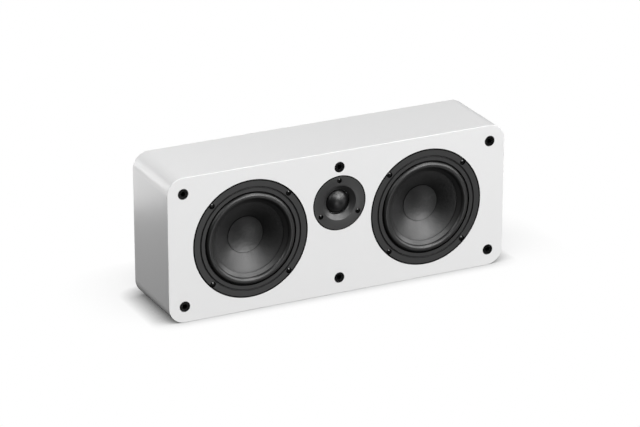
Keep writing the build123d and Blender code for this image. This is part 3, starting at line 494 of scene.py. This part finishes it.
FINISHES = {
    "white_lacquer": Finish(
        "satin_white_lacquer", (0.745, 0.745, 0.745), (0.735, 0.735, 0.736),
        Grain.PEEL, grain_scale=900.0, relief=0.0000012, rough=(0.29, 0.31), painted_shade_reach=0.002,
    ),
    "fibreboard": Finish(
        "raw_fibreboard", (0.43, 0.30, 0.17), (0.26, 0.17, 0.09),
        Grain.FIBRE, grain_scale=1600.0, relief=0.00008, rough=(0.85, 0.95),
    ),
    "chassis_black": Finish(
        "cast_black_paint", (0.018, 0.018, 0.0182), (0.022, 0.022, 0.0222),
        Grain.CAST, grain_scale=2600.0, relief=0.00001, rough=(0.38, 0.46),
        wear_and_glint=(0.04, 0.04, 0.041), dust=0.004, specular=0.6, painted_shade_reach=0.004,
    ),
    "rubber_black": Finish(
        "moulded_rubber", (0.009, 0.009, 0.009), (0.014, 0.014, 0.014),
        Grain.PORES, grain_scale=3200.0, relief=0.00001, rough=(0.33, 0.41), dust=0.003,
        specular=0.65, painted_shade_reach=0.010,
    ),
    "foam_black": Finish(
        "sealing_foam", (0.02, 0.02, 0.02), (0.035, 0.035, 0.035),
        Grain.PORES, grain_scale=1500.0, relief=0.0001, rough=(0.85, 0.95),
    ),
    "cone_black": Finish(
        "coated_pulp", (0.0015, 0.0015, 0.0016), (0.006, 0.006, 0.0061),
        Grain.PULP, grain_scale=1000.0, relief=0.0003, rough=(0.33, 0.44), dust=0.002, specular=0.7,
        painted_shade_reach=0.003,
    ),
    "spider_cloth": Finish(
        "spider_cloth", (0.50, 0.36, 0.13), (0.30, 0.20, 0.06),
        Grain.WEAVE, grain_scale=260.0, relief=0.0001, rough=(0.7, 0.85), sheen=0.2,
    ),
    "copper_wire": Finish(
        "copper_wire", (0.72, 0.33, 0.17), (0.45, 0.17, 0.08),
        Grain.WINDING, grain_scale=320.0, relief=0.0001, rough=(0.22, 0.36), metallic=1.0,
    ),
    "zinc_steel": Finish(
        "zinc_steel", (0.56, 0.57, 0.59), (0.44, 0.45, 0.46),
        Grain.BRUSH, grain_scale=2400.0, relief=0.00001, rough=(0.26, 0.42), metallic=1.0,
        wear_and_glint=(0.68, 0.68, 0.69),
    ),
    "ferrite": Finish(
        "sintered_ferrite", (0.035, 0.035, 0.038), (0.07, 0.07, 0.072),
        Grain.CAST, grain_scale=900.0, relief=0.00003, rough=(0.5, 0.7), wear_and_glint=(0.14, 0.14, 0.14),
    ),
    "tab_brass": Finish(
        "tinned_brass", (0.70, 0.58, 0.34), (0.60, 0.57, 0.50),
        Grain.BRUSH, grain_scale=1800.0, relief=0.00001, rough=(0.25, 0.4), metallic=1.0,
    ),
    "fibre_board": Finish(
        "laminated_board", (0.20, 0.10, 0.04), (0.13, 0.06, 0.025),
        Grain.WEAVE, grain_scale=300.0, relief=0.00003, rough=(0.45, 0.6),
    ),
    "faceplate_black": Finish(
        "moulded_faceplate", (0.017, 0.017, 0.0172), (0.020, 0.020, 0.0202),
        Grain.CAST, grain_scale=2800.0, relief=0.000008, rough=(0.36, 0.42),
        wear_and_glint=(0.04, 0.04, 0.041), dust=0.003, specular=0.8, painted_shade_reach=0.003,
    ),
    "dome_silk": Finish(
        "coated_silk", (0.005, 0.005, 0.0052), (0.008, 0.008, 0.0082),
        Grain.WEAVE, grain_scale=650.0, relief=0.00001, rough=(0.32, 0.38), specular=0.65,
        painted_shade_reach=0.002,
    ),
    "screw_black": Finish(
        "black_oxide", (0.006, 0.006, 0.006), (0.010, 0.010, 0.010),
        Grain.CAST, grain_scale=3000.0, relief=0.000004, rough=(0.12, 0.18),
        wear_and_glint=(0.05, 0.05, 0.05), specular=0.9, painted_shade_reach=0.0035,
    ),
    "cup_black": Finish(
        "textured_plastic", (0.013, 0.013, 0.013), (0.018, 0.018, 0.018),
        Grain.CAST, grain_scale=1800.0, relief=0.00004, rough=(0.45, 0.55), wear_and_glint=(0.03, 0.03, 0.03),
        dust=0.005, painted_shade_reach=0.004,
    ),
    "knob_red": Finish(
        "red_plastic", (0.42, 0.012, 0.012), (0.33, 0.008, 0.008),
        Grain.PEEL, grain_scale=900.0, relief=0.00001, rough=(0.15, 0.25), coat=0.4,
    ),
    "knob_black": Finish(
        "black_plastic", (0.012, 0.012, 0.012), (0.018, 0.018, 0.018),
        Grain.PEEL, grain_scale=900.0, relief=0.00001, rough=(0.15, 0.25), coat=0.4,
    ),
    "stud_gold": Finish(
        "gold_plate", (0.83, 0.58, 0.22), (0.76, 0.50, 0.18),
        Grain.BRUSH, grain_scale=2600.0, relief=0.000005, rough=(0.14, 0.24), metallic=1.0,
    ),
    "board_green": Finish(
        "solder_mask", (0.02, 0.13, 0.045), (0.015, 0.09, 0.03),
        Grain.PEEL, grain_scale=500.0, relief=0.00002, rough=(0.2, 0.3), coat=0.3,
    ),
    "capacitor_yellow": Finish(
        "film_wrap", (0.62, 0.40, 0.04), (0.50, 0.31, 0.03),
        Grain.PEEL, grain_scale=400.0, relief=0.00003, rough=(0.2, 0.32), coat=0.3,
    ),
    "resistor_white": Finish(
        "cement_filled", (0.70, 0.69, 0.65), (0.55, 0.54, 0.50),
        Grain.CAST, grain_scale=1200.0, relief=0.00005, rough=(0.7, 0.85),
    ),
    "wadding_white": Finish(
        "polyester_wadding", (0.72, 0.72, 0.70), (0.50, 0.50, 0.48),
        Grain.FLEECE, grain_scale=500.0, relief=0.0006, rough=(0.9, 1.0), sheen=0.4,
    ),
    "lead_red": Finish(
        "red_lead_sleeve", (0.40, 0.015, 0.012), (0.30, 0.010, 0.009),
        Grain.PEEL, grain_scale=1500.0, relief=0.00002, rough=(0.3, 0.42),
    ),
    "lead_black": Finish(
        "black_lead_sleeve", (0.014, 0.014, 0.014), (0.02, 0.02, 0.02),
        Grain.PEEL, grain_scale=1500.0, relief=0.00002, rough=(0.3, 0.42),
    ),
    # The light edge colour here is a painted highlight on the sockets' rims, not wear.
    "socket_black": Finish(
        "socket_rubber", (0.003, 0.003, 0.003), (0.005, 0.005, 0.005),
        Grain.PORES, grain_scale=3200.0, relief=0.00001, rough=(0.2, 0.28), wear_and_glint=(0.10, 0.10, 0.10),
        specular=0.2, painted_shade_reach=0.003,
    ),
    # Dull near-black for painted shadow: the dark outlines round the woofer flanges and the tweeter's
    # faceplate.
    "painted_shadow_edge": Finish(
        "painted_shadow_rim", (0.001, 0.001, 0.001), (0.002, 0.002, 0.002),
        Grain.CAST, grain_scale=2600.0, relief=0.00001, rough=(0.5, 0.6), specular=0.08, painted_shade_reach=0.004,
    ),
}


@dataclass
class Section:
    """Half of a turned piece's section, as radius and depth behind the baffle, in metres.

    Args:
        points: The points so far, in order.
    """

    points: list[Point] = field(default_factory=list)

    def to(self, *points: Point) -> "Section":
        """Goes straight to each point in turn and returns itself."""
        self.points.extend(points)
        return self

    def arc(self, through: Point, end: Point, steps: int) -> "Section":
        """Goes to a point on the circle through a middle point.

        Args:
            through: A point on the way.
            end: Where the arc ends.
            steps: How many straight steps it has.

        Returns:
            The section itself.
        """
        (ax, ay), (bx, by), (cx, cy) = self.points[-1], through, end
        twice = 2 * (ax * (by - cy) + bx * (cy - ay) + cx * (ay - by))
        a2, b2, c2 = ax * ax + ay * ay, bx * bx + by * by, cx * cx + cy * cy
        ox = (a2 * (by - cy) + b2 * (cy - ay) + c2 * (ay - by)) / twice
        oy = (a2 * (cx - bx) + b2 * (ax - cx) + c2 * (bx - ax)) / twice
        radius = math.hypot(ax - ox, ay - oy)
        first = math.atan2(ay - oy, ax - ox)
        middle = (math.atan2(by - oy, bx - ox) - first) % FULL_TURN
        sweep = (math.atan2(cy - oy, cx - ox) - first) % FULL_TURN
        if middle > sweep:
            sweep -= FULL_TURN
        for step in range(1, steps + 1):
            angle = first + sweep * step / steps
            self.points.append((ox + radius * math.cos(angle), oy + radius * math.sin(angle)))
        return self


def clear_bench() -> None:
    """Leaves edit mode and deselects everything."""
    if bpy.context.object and bpy.context.object.mode != "OBJECT":
        bpy.ops.object.mode_set(mode="OBJECT")
    bpy.ops.object.select_all(action="DESELECT")


def spun(name: str, section: Section, centre: Point, steps: int = 192) -> bpy.types.Object:
    """Turns a section about an axis that runs from front to back.

    Args:
        name: The piece's name.
        section: The half section, closed on itself or with both ends on the axis.
        centre: Where the axis is, in X and Z.
        steps: How many steps go round.

    Returns:
        The turned piece, with its place in its mesh.
    """
    clear_bench()
    x, z = centre
    radius, depth = section.points[0]
    bpy.ops.mesh.primitive_plane_add(size=SEAM, location=(x + radius, FRONT_Y + depth, z))
    piece = bpy.context.object
    piece.name = piece.data.name = name
    bpy.ops.object.transform_apply(location=True, rotation=True, scale=True)
    bpy.ops.object.mode_set(mode="EDIT")
    bpy.ops.mesh.select_all(action="SELECT")
    bpy.ops.mesh.merge(type="CENTER")
    for (r0, d0), (r1, d1) in zip(section.points, section.points[1:]):
        bpy.ops.mesh.extrude_vertices_move(TRANSFORM_OT_translate={"value": (r1 - r0, d1 - d0, 0)})
    bpy.ops.mesh.select_all(action="SELECT")
    bpy.ops.mesh.spin(steps=steps, angle=FULL_TURN, center=(x, 0, z), axis=(0, 1, 0))
    bpy.ops.mesh.select_all(action="SELECT")
    bpy.ops.mesh.remove_doubles(threshold=SEAM)
    bpy.ops.mesh.normals_make_consistent(inside=False)
    bpy.ops.object.mode_set(mode="OBJECT")
    return piece


def smooth(piece: bpy.types.Object, degrees: float = 30.0) -> None:
    """Shades a piece smooth, apart from its sharp edges.

    Args:
        piece: The piece to shade.
        degrees: The angle from which an edge stays sharp.
    """
    clear_bench()
    piece.select_set(True)
    bpy.context.view_layer.objects.active = piece
    bpy.ops.object.shade_smooth_by_angle(angle=math.radians(degrees))


def bored(piece: bpy.types.Object, centre: Point, radius: float, reach: Point) -> None:
    """Cuts a round hole from front to back into a piece.

    Args:
        piece: The piece to cut.
        centre: Where the hole is, in X and Z.
        radius: Its radius.
        reach: The depths at which it starts and ends.
    """
    clear_bench()
    start, end = reach
    place = (centre[0], FRONT_Y + (start + end) / 2, centre[1])
    bpy.ops.mesh.primitive_cylinder_add(vertices=64, radius=radius, depth=end - start, location=place)
    drill = bpy.context.object
    drill.rotation_euler = (math.pi / 2, 0, 0)
    bpy.ops.object.transform_apply(location=True, rotation=True, scale=True)
    cut = piece.modifiers.new("hole", "BOOLEAN")
    cut.operation, cut.solver, cut.object = "DIFFERENCE", "EXACT", drill
    clear_bench()
    piece.select_set(True)
    bpy.context.view_layer.objects.active = piece
    bpy.ops.object.modifier_apply(modifier=cut.name)
    bpy.data.objects.remove(drill)


def dress(piece: bpy.types.Object, slot: str) -> None:
    """Gives a piece the finish of a slot.

    Args:
        piece: The piece to dress.
        slot: The slot's name in the record, or a finish that only the scene has.
    """
    made = FINISHES[slot].material()
    if piece.data.materials:
        for index in range(len(piece.data.materials)):
            piece.data.materials[index] = made
    else:
        piece.data.materials.append(made)


@dataclass
class Woofer:
    """One woofer's visible soft parts, and a dull near-black ring on its flange's rim that paints the
    shadow gap round the flange as a dark outline.

    Args:
        side: left or right.
        roll_outer: Radius where the roll meets its outer lip.
        roll_inner: Radius where the roll meets the cone.
        roll_proud: How far the crest stands out of the baffle.
        lip_outer: Radius of the outer lip.
        ledge_depth: Depth of the ledge that carries the lip.
        inner_depth: Depth where the roll meets the cone.
        wall: The rubber's thickness.
        lip_wall: The inner lip's thickness at its end.
        lip_end: Radius where the lip ends on the cone.
        lip_end_depth: Depth of the lip's back at its end.
        cap_radius: Radius of the dust cap.
        cap_depth: Depth of its rim.
        cap_dish: How deep it is dished.
        cap_wall: Its thickness.
        flange_radius: Radius of the flange's rim.
        flange_back: Depth of the flange's back.
        flange_rounding: Radius of its rounded edge.
        bevel: How wide the ring of painted shadow on the flange's rim is.
        edge_proud: How far the bevel stands out of the flange.
        arc_steps: How many straight steps an arc has.
        centre: Where its axis is, in X and Z.
        crest: Radius of the roll's crest.
    """

    side: str
    roll_outer: float = 0.0572
    roll_inner: float = 0.0486
    roll_proud: float = 0.0022
    lip_outer: float = 0.05845
    ledge_depth: float = 0.0027
    inner_depth: float = 0.0010
    wall: float = 0.0008
    lip_wall: float = 0.0006
    lip_end: float = 0.0443
    lip_end_depth: float = 0.00442
    cap_radius: float = 0.0224
    cap_depth: float = 0.0150
    cap_dish: float = 0.0043
    cap_wall: float = 0.00065
    flange_radius: float = 0.07304
    flange_back: float = 0.0030
    flange_rounding: float = 0.00084
    bevel: float = 0.0013
    edge_proud: float = 0.00004
    arc_steps: int = 32
    centre: Point = field(init=False)
    crest: float = field(init=False)

    def __post_init__(self) -> None:
        """Reads the woofer's axis from its chassis and places the roll's crest."""
        low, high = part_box(f"woofer_{self.side}_chassis")
        self.centre = ((low.x + high.x) / 2, (low.z + high.z) / 2)
        self.crest = (self.roll_outer + self.roll_inner) / 2

    def half_arc(self, inner: bool, offset: float) -> list[Point]:
        """One half of the roll's curve, from the crest to its foot.

        Behind the face, each foot moves mostly towards the crest and only a little deeper.

        Args:
            inner: Whether it is the half beside the cone.
            offset: How far behind the face the curve lies.

        Returns:
            The curve's points.
        """
        crest = (self.crest, offset - self.roll_proud)
        outer_sink, inner_sink = offset / 4, offset / 2
        outer = (self.roll_outer - offset, self.ledge_depth - self.wall + outer_sink)
        near_cone = (self.roll_inner + offset, self.inner_depth + inner_sink)
        whole = Section([outer]).arc(crest, near_cone, 2 * self.arc_steps).points
        split = min(range(len(whole)), key=lambda i: abs(whole[i][0] - self.crest))
        rest = whole[split + 1:] if inner else whole[split - 1::-1]
        return [crest] + rest

    def roll(self, inner: bool) -> None:
        """Builds one half of the surround, which bends between the chassis and the cone.

        Args:
            inner: Whether it is the half beside the cone.
        """
        face, back = self.half_arc(inner, 0.0), self.half_arc(inner, self.wall)
        section = Section(list(face))
        if inner:
            section.to((self.lip_end, self.lip_end_depth - self.lip_wall))
            section.to((self.lip_end, self.lip_end_depth))
            section.to((self.roll_inner - self.wall / 2, self.inner_depth + self.wall))
        else:
            lip = self.ledge_depth - self.wall
            section.to((self.lip_outer, lip), (self.lip_outer, self.ledge_depth))
            section.to((self.roll_outer - self.wall, self.ledge_depth))
        section.to(*reversed(back)).to(face[0])
        name = f"woofer_{self.side}_surround_{'inner' if inner else 'outer'}"
        half = spun(name, section, self.centre)
        smooth(half)
        dress(half, "rubber_black")
        if inner:
            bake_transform(half)
        else:
            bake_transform(half)
        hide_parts(f"woofer_{self.side}_surround")
        log.info("%s", name)

    def cap(self) -> None:
        """Builds the dished dust cap."""
        back = self.cap_wall
        inner = [(radius, depth + back) for radius, depth in self.dish()]
        section = Section(self.dish()).to(*reversed(inner))
        cap = spun(f"woofer_{self.side}_cap", section, self.centre)
        smooth(cap)
        dress(cap, "cone_black")
        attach(cap, f"{self.side}_cone")
        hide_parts(f"woofer_{self.side}_dust_cap")
        log.info("%s", cap.name)

    def dish(self) -> list[Point]:
        """The cap's face.

        Returns:
            Its points, from its middle to its rim.
        """
        middle, rim = (0.0, self.cap_depth + self.cap_dish), (self.cap_radius, self.cap_depth)
        sphere = (self.cap_radius ** 2 + self.cap_dish ** 2) / (2 * self.cap_dish)
        half = math.asin(self.cap_radius / sphere) / 2
        through = (sphere * math.sin(half), middle[1] - sphere * (1 - math.cos(half)))
        return Section([middle]).arc(through, rim, self.arc_steps).points

    def edge(self) -> None:
        """Builds a dull near-black bevelled ring over the flange's rim: a painted shadow that draws the
        dark outline of the gap round the flange.
        """
        # The ring stands in for the shade in the gap round the flange: a painted shadow laid over the
        # chassis's own rim.
        outer, inner, turn = self.flange_radius, self.flange_radius - self.bevel, self.flange_rounding
        proud, back = self.edge_proud, self.flange_back
        section = Section([(inner, -proud), (outer - turn, -proud)])
        half = turn * math.sqrt(0.5)
        halfway, end = (outer - turn + half, turn - half - proud), (outer, turn - proud)
        section.arc(halfway, end, self.arc_steps // 4)
        section.to((outer, back), (inner, back), (inner, -proud))
        ring = spun(f"woofer_{self.side}_edge", section, self.centre, steps=256)
        smooth(ring)
        dress(ring, "painted_shadow_edge")
        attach(ring, "root")
        log.info("%s", ring.name)

    def build(self) -> None:
        """Builds both halves of the surround, the dust cap and the painted shadow ring on the flange's
        rim.
        """
        self.roll(inner=False)
        self.roll(inner=True)
        self.cap()
        self.edge()


@dataclass(frozen=True)
class Tweeter:
    """The tweeter's visible face: its faceplate with the flare and the dome in the flare's throat.

    Args:
        radius: Radius of the dome at its foot.
        apex: Depth of its top behind the baffle.
        foot: Depth of its foot.
        rim: Radius of its flat rim behind the faceplate.
        cloth: The cloth's thickness.
        give: Not used: how far in front of its foot the cloth would start to move in full.
        plate: Radius of the faceplate.
        bevel: How wide the ring of painted shadow on the faceplate's rim is.
        bevel_middle: The bevel's middle point, as shares of its width in from the rim and down.
        bevel_end: How deep it ends at the rim, as a share of its width.
        plate_back: Depth of the faceplate's back.
        boss: Radius of the boss behind it.
        boss_back: Depth of the boss's back.
        seat: Radius of the recess that takes the dome's flange.
        seat_depth: Depth of that recess.
        mouth: Radius of the flare's mouth.
        mouth_round: How far the mouth's edge is rounded.
        throat: Radius and depth of the flare's throat.
        lean: The two middle points that shape the flare's curve.
        screws: Radius of the circle that the screws lie on.
        screw_turns: Where the screws are on it, in degrees.
        recess: Radius and depth of a screw's recess.
        hole: Radius of a screw's hole.
        arc_steps: How many straight steps an arc has.
    """

    radius: float = 0.0141
    apex: float = 0.0004
    foot: float = 0.00705
    rim: float = 0.0148
    cloth: float = 0.0003
    give: float = 0.0016
    plate: float = 0.0340
    bevel: float = 0.0010
    bevel_middle: Point = (0.3, 0.22)
    bevel_end: float = 0.8
    plate_back: float = 0.0040
    boss: float = 0.0244
    boss_back: float = 0.0074
    seat: float = 0.0192
    seat_depth: float = 0.0070
    mouth: float = 0.0215
    mouth_round: float = 0.0004
    throat: Point = (0.0150, 0.0063)
    lean: tuple[Point, Point] = ((0.0152, 0.0036), (0.0180, 0.0029))
    screws: float = 0.0280
    screw_turns: tuple[int, ...] = (90, 210, 330)
    recess: Point = (0.00324, 0.0023)
    hole: float = 0.00189
    arc_steps: int = 40

    def build(self) -> None:
        """Builds the faceplate and the dome."""
        low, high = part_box("tweeter_dome")
        centre = ((low.x + high.x) / 2, (low.z + high.z) / 2)
        self.faceplate(centre)
        self.dome(centre)

    def flare(self) -> list[Point]:
        """The flare's curve.

        Returns:
            Its points, from its throat to its mouth.
        """
        first, last = self.throat, (self.mouth, self.mouth_round / 4)
        curve = []
        for step in range(self.arc_steps + 1):
            t = step / self.arc_steps
            weights = ((1 - t) ** 3, 3 * t * (1 - t) ** 2, 3 * t * t * (1 - t), t ** 3)
            corners = list(zip(weights, (first, *self.lean, last)))
            curve.append(tuple(sum(w * corner[k] for w, corner in corners) for k in (0, 1)))
        return curve

    def faceplate(self, centre: Point) -> None:
        """Builds the faceplate, and a dull near-black ring on its rim that paints the shadow round it as
        a dark outline.

        Args:
            centre: The tweeter's axis, in X and Z.
        """
        inner = self.plate - self.bevel
        plate = Section([(self.throat[0], self.seat_depth)]).to(*self.flare())
        plate.to((self.mouth + self.mouth_round, 0.0), (inner, 0.0), (inner, self.plate_back))
        plate.to((self.boss, self.plate_back), (self.boss, self.boss_back), (self.seat, self.boss_back))
        plate.to((self.seat, self.seat_depth), plate.points[0])
        face = spun("tweeter_plate", plate, centre)
        wide, deep = self.recess
        for turn in self.screw_turns:
            angle = math.radians(turn)
            place = (centre[0] + self.screws * math.cos(angle), centre[1] + self.screws * math.sin(angle))
            bored(face, place, wide, (-deep, deep))
            bored(face, place, self.hole, (-deep, self.plate_back + deep))
        inward, down = self.bevel_middle
        middle = (self.plate - inward * self.bevel, down * self.bevel)
        end = (self.plate, self.bevel_end * self.bevel)
        # The rim ring is a painted shadow: it draws the dark outline round the faceplate.
        edge = Section([(inner, 0.0)]).arc(middle, end, self.arc_steps // 4)
        edge.to((self.plate, self.plate_back), (inner, self.plate_back), (inner, 0.0))
        rim = spun("tweeter_plate_shadow_rim", edge, centre)
        for piece, finish in ((face, "faceplate_black"), (rim, "painted_shadow_edge")):
            smooth(piece)
            dress(piece, finish)
            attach(piece, "root")
            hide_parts("tweeter_faceplate")
            log.info("%s", piece.name)

    def dome(self, centre: Point) -> None:
        """Builds the dome with its flat rim.

        Args:
            centre: The tweeter's axis, in X and Z.
        """
        face = Section([(0.0, self.apex)]).arc(*self.bow(self.radius, 0.0), self.arc_steps)
        back = Section([(0.0, self.apex + self.cloth)])
        back.arc(*self.bow(self.radius - self.cloth, self.cloth), self.arc_steps)
        face.to((self.rim, self.foot), (self.rim, self.foot + self.cloth)).to(*reversed(back.points))
        dome = spun("tweeter_dome_cloth", face, centre)
        smooth(dome)
        dress(dome, "dome_silk")
        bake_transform(dome)
        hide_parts("tweeter_dome")
        log.info("%s", dome.name)

    def bow(self, radius: float, behind: float) -> tuple[Point, Point]:
        """The dome's arc from its top.

        Args:
            radius: Radius at the foot.
            behind: How far behind the dome's face the arc lies.

        Returns:
            A point halfway along the arc and the point at its foot.
        """
        rise = self.foot - self.apex
        sphere = (radius ** 2 + rise ** 2) / (2 * rise)
        half = math.asin(radius / sphere) / 2
        top = self.apex + behind
        return (sphere * math.sin(half), top + sphere * (1 - math.cos(half))), (radius, top + rise)


@dataclass(frozen=True)
class Softbox:
    """A rectangular studio light.

    Args:
        name: Its name.
        place: Where it hangs.
        size: Its width and height.
        power: Its power in watts.
        aim: What it faces.
        streak: Whether it only shows as a reflection in shiny faces.
    """

    name: str
    place: Triple
    size: Point
    power: float
    aim: Triple = LIGHT_AIM
    streak: bool = False

    @staticmethod
    def far(
        name: str, azimuth: float, elevation: float, size: Point, power: float, streak: bool = False
    ) -> "Softbox":
        """A softbox on the big sphere round the speaker, facing it.

        Args:
            name: Its name.
            azimuth: Degrees to the right of straight ahead.
            elevation: Degrees above what it faces.
            size: Its width and height.
            power: Its power in watts.
            streak: Whether it only shows as a reflection in shiny faces.

        Returns:
            The softbox.
        """
        turn, rise = math.radians(azimuth), math.radians(elevation)
        x, y, z = LIGHT_AIM
        place = (
            x + LIGHT_REACH * math.sin(turn) * math.cos(rise),
            y - LIGHT_REACH * math.cos(turn) * math.cos(rise),
            z + LIGHT_REACH * math.sin(rise),
        )
        return Softbox(name, place, size, power, streak=streak)

    def hang(self) -> None:
        """Hangs the light where the camera doesn't see it."""
        lamp = bpy.data.lights.new(self.name, "AREA")
        lamp.shape = "RECTANGLE"
        lamp.size, lamp.size_y = self.size
        lamp.energy = self.power
        holder = bpy.data.objects.new(self.name, lamp)
        bpy.context.scene.collection.objects.link(holder)
        holder.location = self.place
        way = Vector(self.aim) - holder.location
        holder.rotation_euler = way.to_track_quat("-Z", "Y").to_euler()
        holder.visible_camera = False
        holder.visible_diffuse = not self.streak


@dataclass(frozen=True)
class Studio:
    """The floor, the light and the camera.

    Args:
        camera_place: Where the camera stands.
        camera_aim: What it looks at.
        lens: Its focal length in millimetres.
        floor_size: The floor's side.
        core: Reach and strength of the dark shadow at the speaker's foot.
        core_way: The way that it looks for the speaker.
        haze: Reach and strength of the wide faint shadow.
        haze_way: The way that it looks for the speaker.
        lights: The softboxes. Most strengths come from a fit to the photo's tones, not from the eye.
    """

    camera_place: Triple = (-1.6012, -3.28025, 1.5347)
    camera_aim: Triple = (-0.0255, -0.05015, 0.10606)
    lens: float = 185.45
    floor_size: float = 30.0
    core: Point = (0.026, 1.4)
    core_way: Triple = (0.0, -0.58, 0.81)
    haze: Point = (0.10, 0.4)
    haze_way: Triple = (-0.35, -0.9, 0.26)
    lights: tuple[Softbox, ...] = (
        Softbox.far("top_back", 180, 60, (2.0, 2.0), 28.0),
        Softbox.far("top_front_right", 45, 55, (1.6, 1.6), 72.0),
        Softbox.far("front_right_inner", 18, 22, (1.0, 1.9), 55.0),
        Softbox.far("front_right_outer", 33, 22, (1.0, 1.9), 46.8),
        Softbox.far("front_high", -5, 35, (1.6, 1.2), 29.0),
        Softbox.far("right", 65, 20, (1.8, 1.8), 57.7),
        Softbox.far("left_high", -60, 35, (1.8, 1.8), 45.8),
        Softbox.far("streak", -159, 27, (1.6, 1.6), 5.1, streak=True),
        Softbox.far("shine_low", 48, 2, (1.4, 1.4), 8.3, streak=True),
        Softbox.far("shine_under_front", 8, -22, (1.4, 1.4), 14.9, streak=True),
        Softbox.far("shine_under_right", 68, -22, (1.4, 1.4), 5.0, streak=True),
        Softbox.far("shine_deep_inner", 26, -48, (1.6, 1.6), 4.8, streak=True),
        Softbox.far("shine_deep_right", 60, -48, (1.6, 1.6), 2.2, streak=True),
        Softbox("left_near", (-0.6, 0.0, 0.6), (0.25, 0.25), 0.67, aim=(-0.22, 0.0, 0.12)),
        Softbox("back_left_near", (-0.7, 0.7, 0.25), (0.4, 0.4), 2.23, aim=(-0.22, 0.0, 0.12)),
        Softbox("floor_glow", (-0.52, 0.55, 0.003), (0.5, 0.5), 1.75, aim=(-0.52, 0.55, 1.0)),
    )

    def build(self) -> None:
        """Sets the floor, the lights and the camera.

        The white world is only seen by the camera and lights nothing.
        """
        scene = bpy.context.scene
        scene.view_settings.view_transform = "Standard"
        scene.view_settings.look = "None"
        self.lay_floor()
        for light in self.lights:
            light.hang()
        world = bpy.data.worlds.new("studio")
        world.use_nodes = True
        graph = Graph(world.node_tree)
        sky = world.node_tree.nodes["Background"]
        sky.inputs["Color"].default_value = (1.0, 1.0, 1.0, 1.0)
        graph.join(graph.add("ShaderNodeLightPath").outputs["Is Camera Ray"], sky.inputs["Strength"])
        scene.world = world
        camera = bpy.data.objects.new("camera", bpy.data.cameras.new("camera"))
        scene.collection.objects.link(camera)
        camera.data.lens = self.lens
        camera.location = self.camera_place
        way = Vector(self.camera_aim) - camera.location
        camera.rotation_euler = way.to_track_quat("-Z", "Y").to_euler()
        scene.camera = camera
        log.info("studio")

    def lay_floor(self) -> None:
        """Lays the floor, which only the camera sees: white, and darker close to the speaker."""
        clear_bench()
        bpy.ops.mesh.primitive_plane_add(size=self.floor_size)
        floor = bpy.context.object
        floor.name = "floor"
        paper = bpy.data.materials.new("pale_paper")
        paper.use_nodes = True
        paper.node_tree.nodes.clear()
        graph = Graph(paper.node_tree)
        core = self.shadow(graph, self.core, self.core_way)
        haze = self.shadow(graph, self.haze, self.haze_way)
        fade = graph.maths("MULTIPLY", core, haze)
        white = graph.add("ShaderNodeEmission")
        graph.join(fade, white.inputs["Strength"])
        graph.join(white.outputs["Emission"], graph.add("ShaderNodeOutputMaterial").inputs["Surface"])
        floor.data.materials.append(paper)
        floor.visible_glossy = floor.visible_diffuse = floor.visible_shadow = False

    @staticmethod
    def shadow(graph: Graph, shape: Point, way: Triple) -> Socket:
        """Darkens the floor near the speaker.

        Args:
            graph: The floor's graph.
            shape: The shadow's reach and strength.
            way: The way that the floor looks for the speaker.

        Returns:
            1 on the open floor, less in the shadow.
        """
        reach, strength = shape
        shade = graph.add("ShaderNodeAmbientOcclusion", samples=8)
        shade.inputs["Distance"].default_value = reach
        look = graph.add("ShaderNodeCombineXYZ")
        for slot, value in zip(look.inputs, way):
            slot.default_value = value
        graph.join(look.outputs["Vector"], shade.inputs["Normal"])
        return graph.maths("POWER", shade.outputs["AO"], strength)


def dress_nodes() -> None:
    """Gives each node the finish of its slot, and the grille sockets a darker one of their own."""
    for part in frame["record"]["subparts"]:
        node = frame["nodes"][part["node"]]
        finish = "socket_black" if part["node"] == "grille_sockets" else part["material_slot"]
        dress(node, finish)
        log.info("%s in %s", node.name, finish)


def main() -> None:
    """Builds every sub-assembly in order."""
    logging.basicConfig(level=logging.INFO, format="%(message)s")
    dress_nodes()
    for side in ("left", "right"):
        Woofer(side).build()
    Tweeter().build()
    Studio().build()


if __name__ == "__main__":
    main()
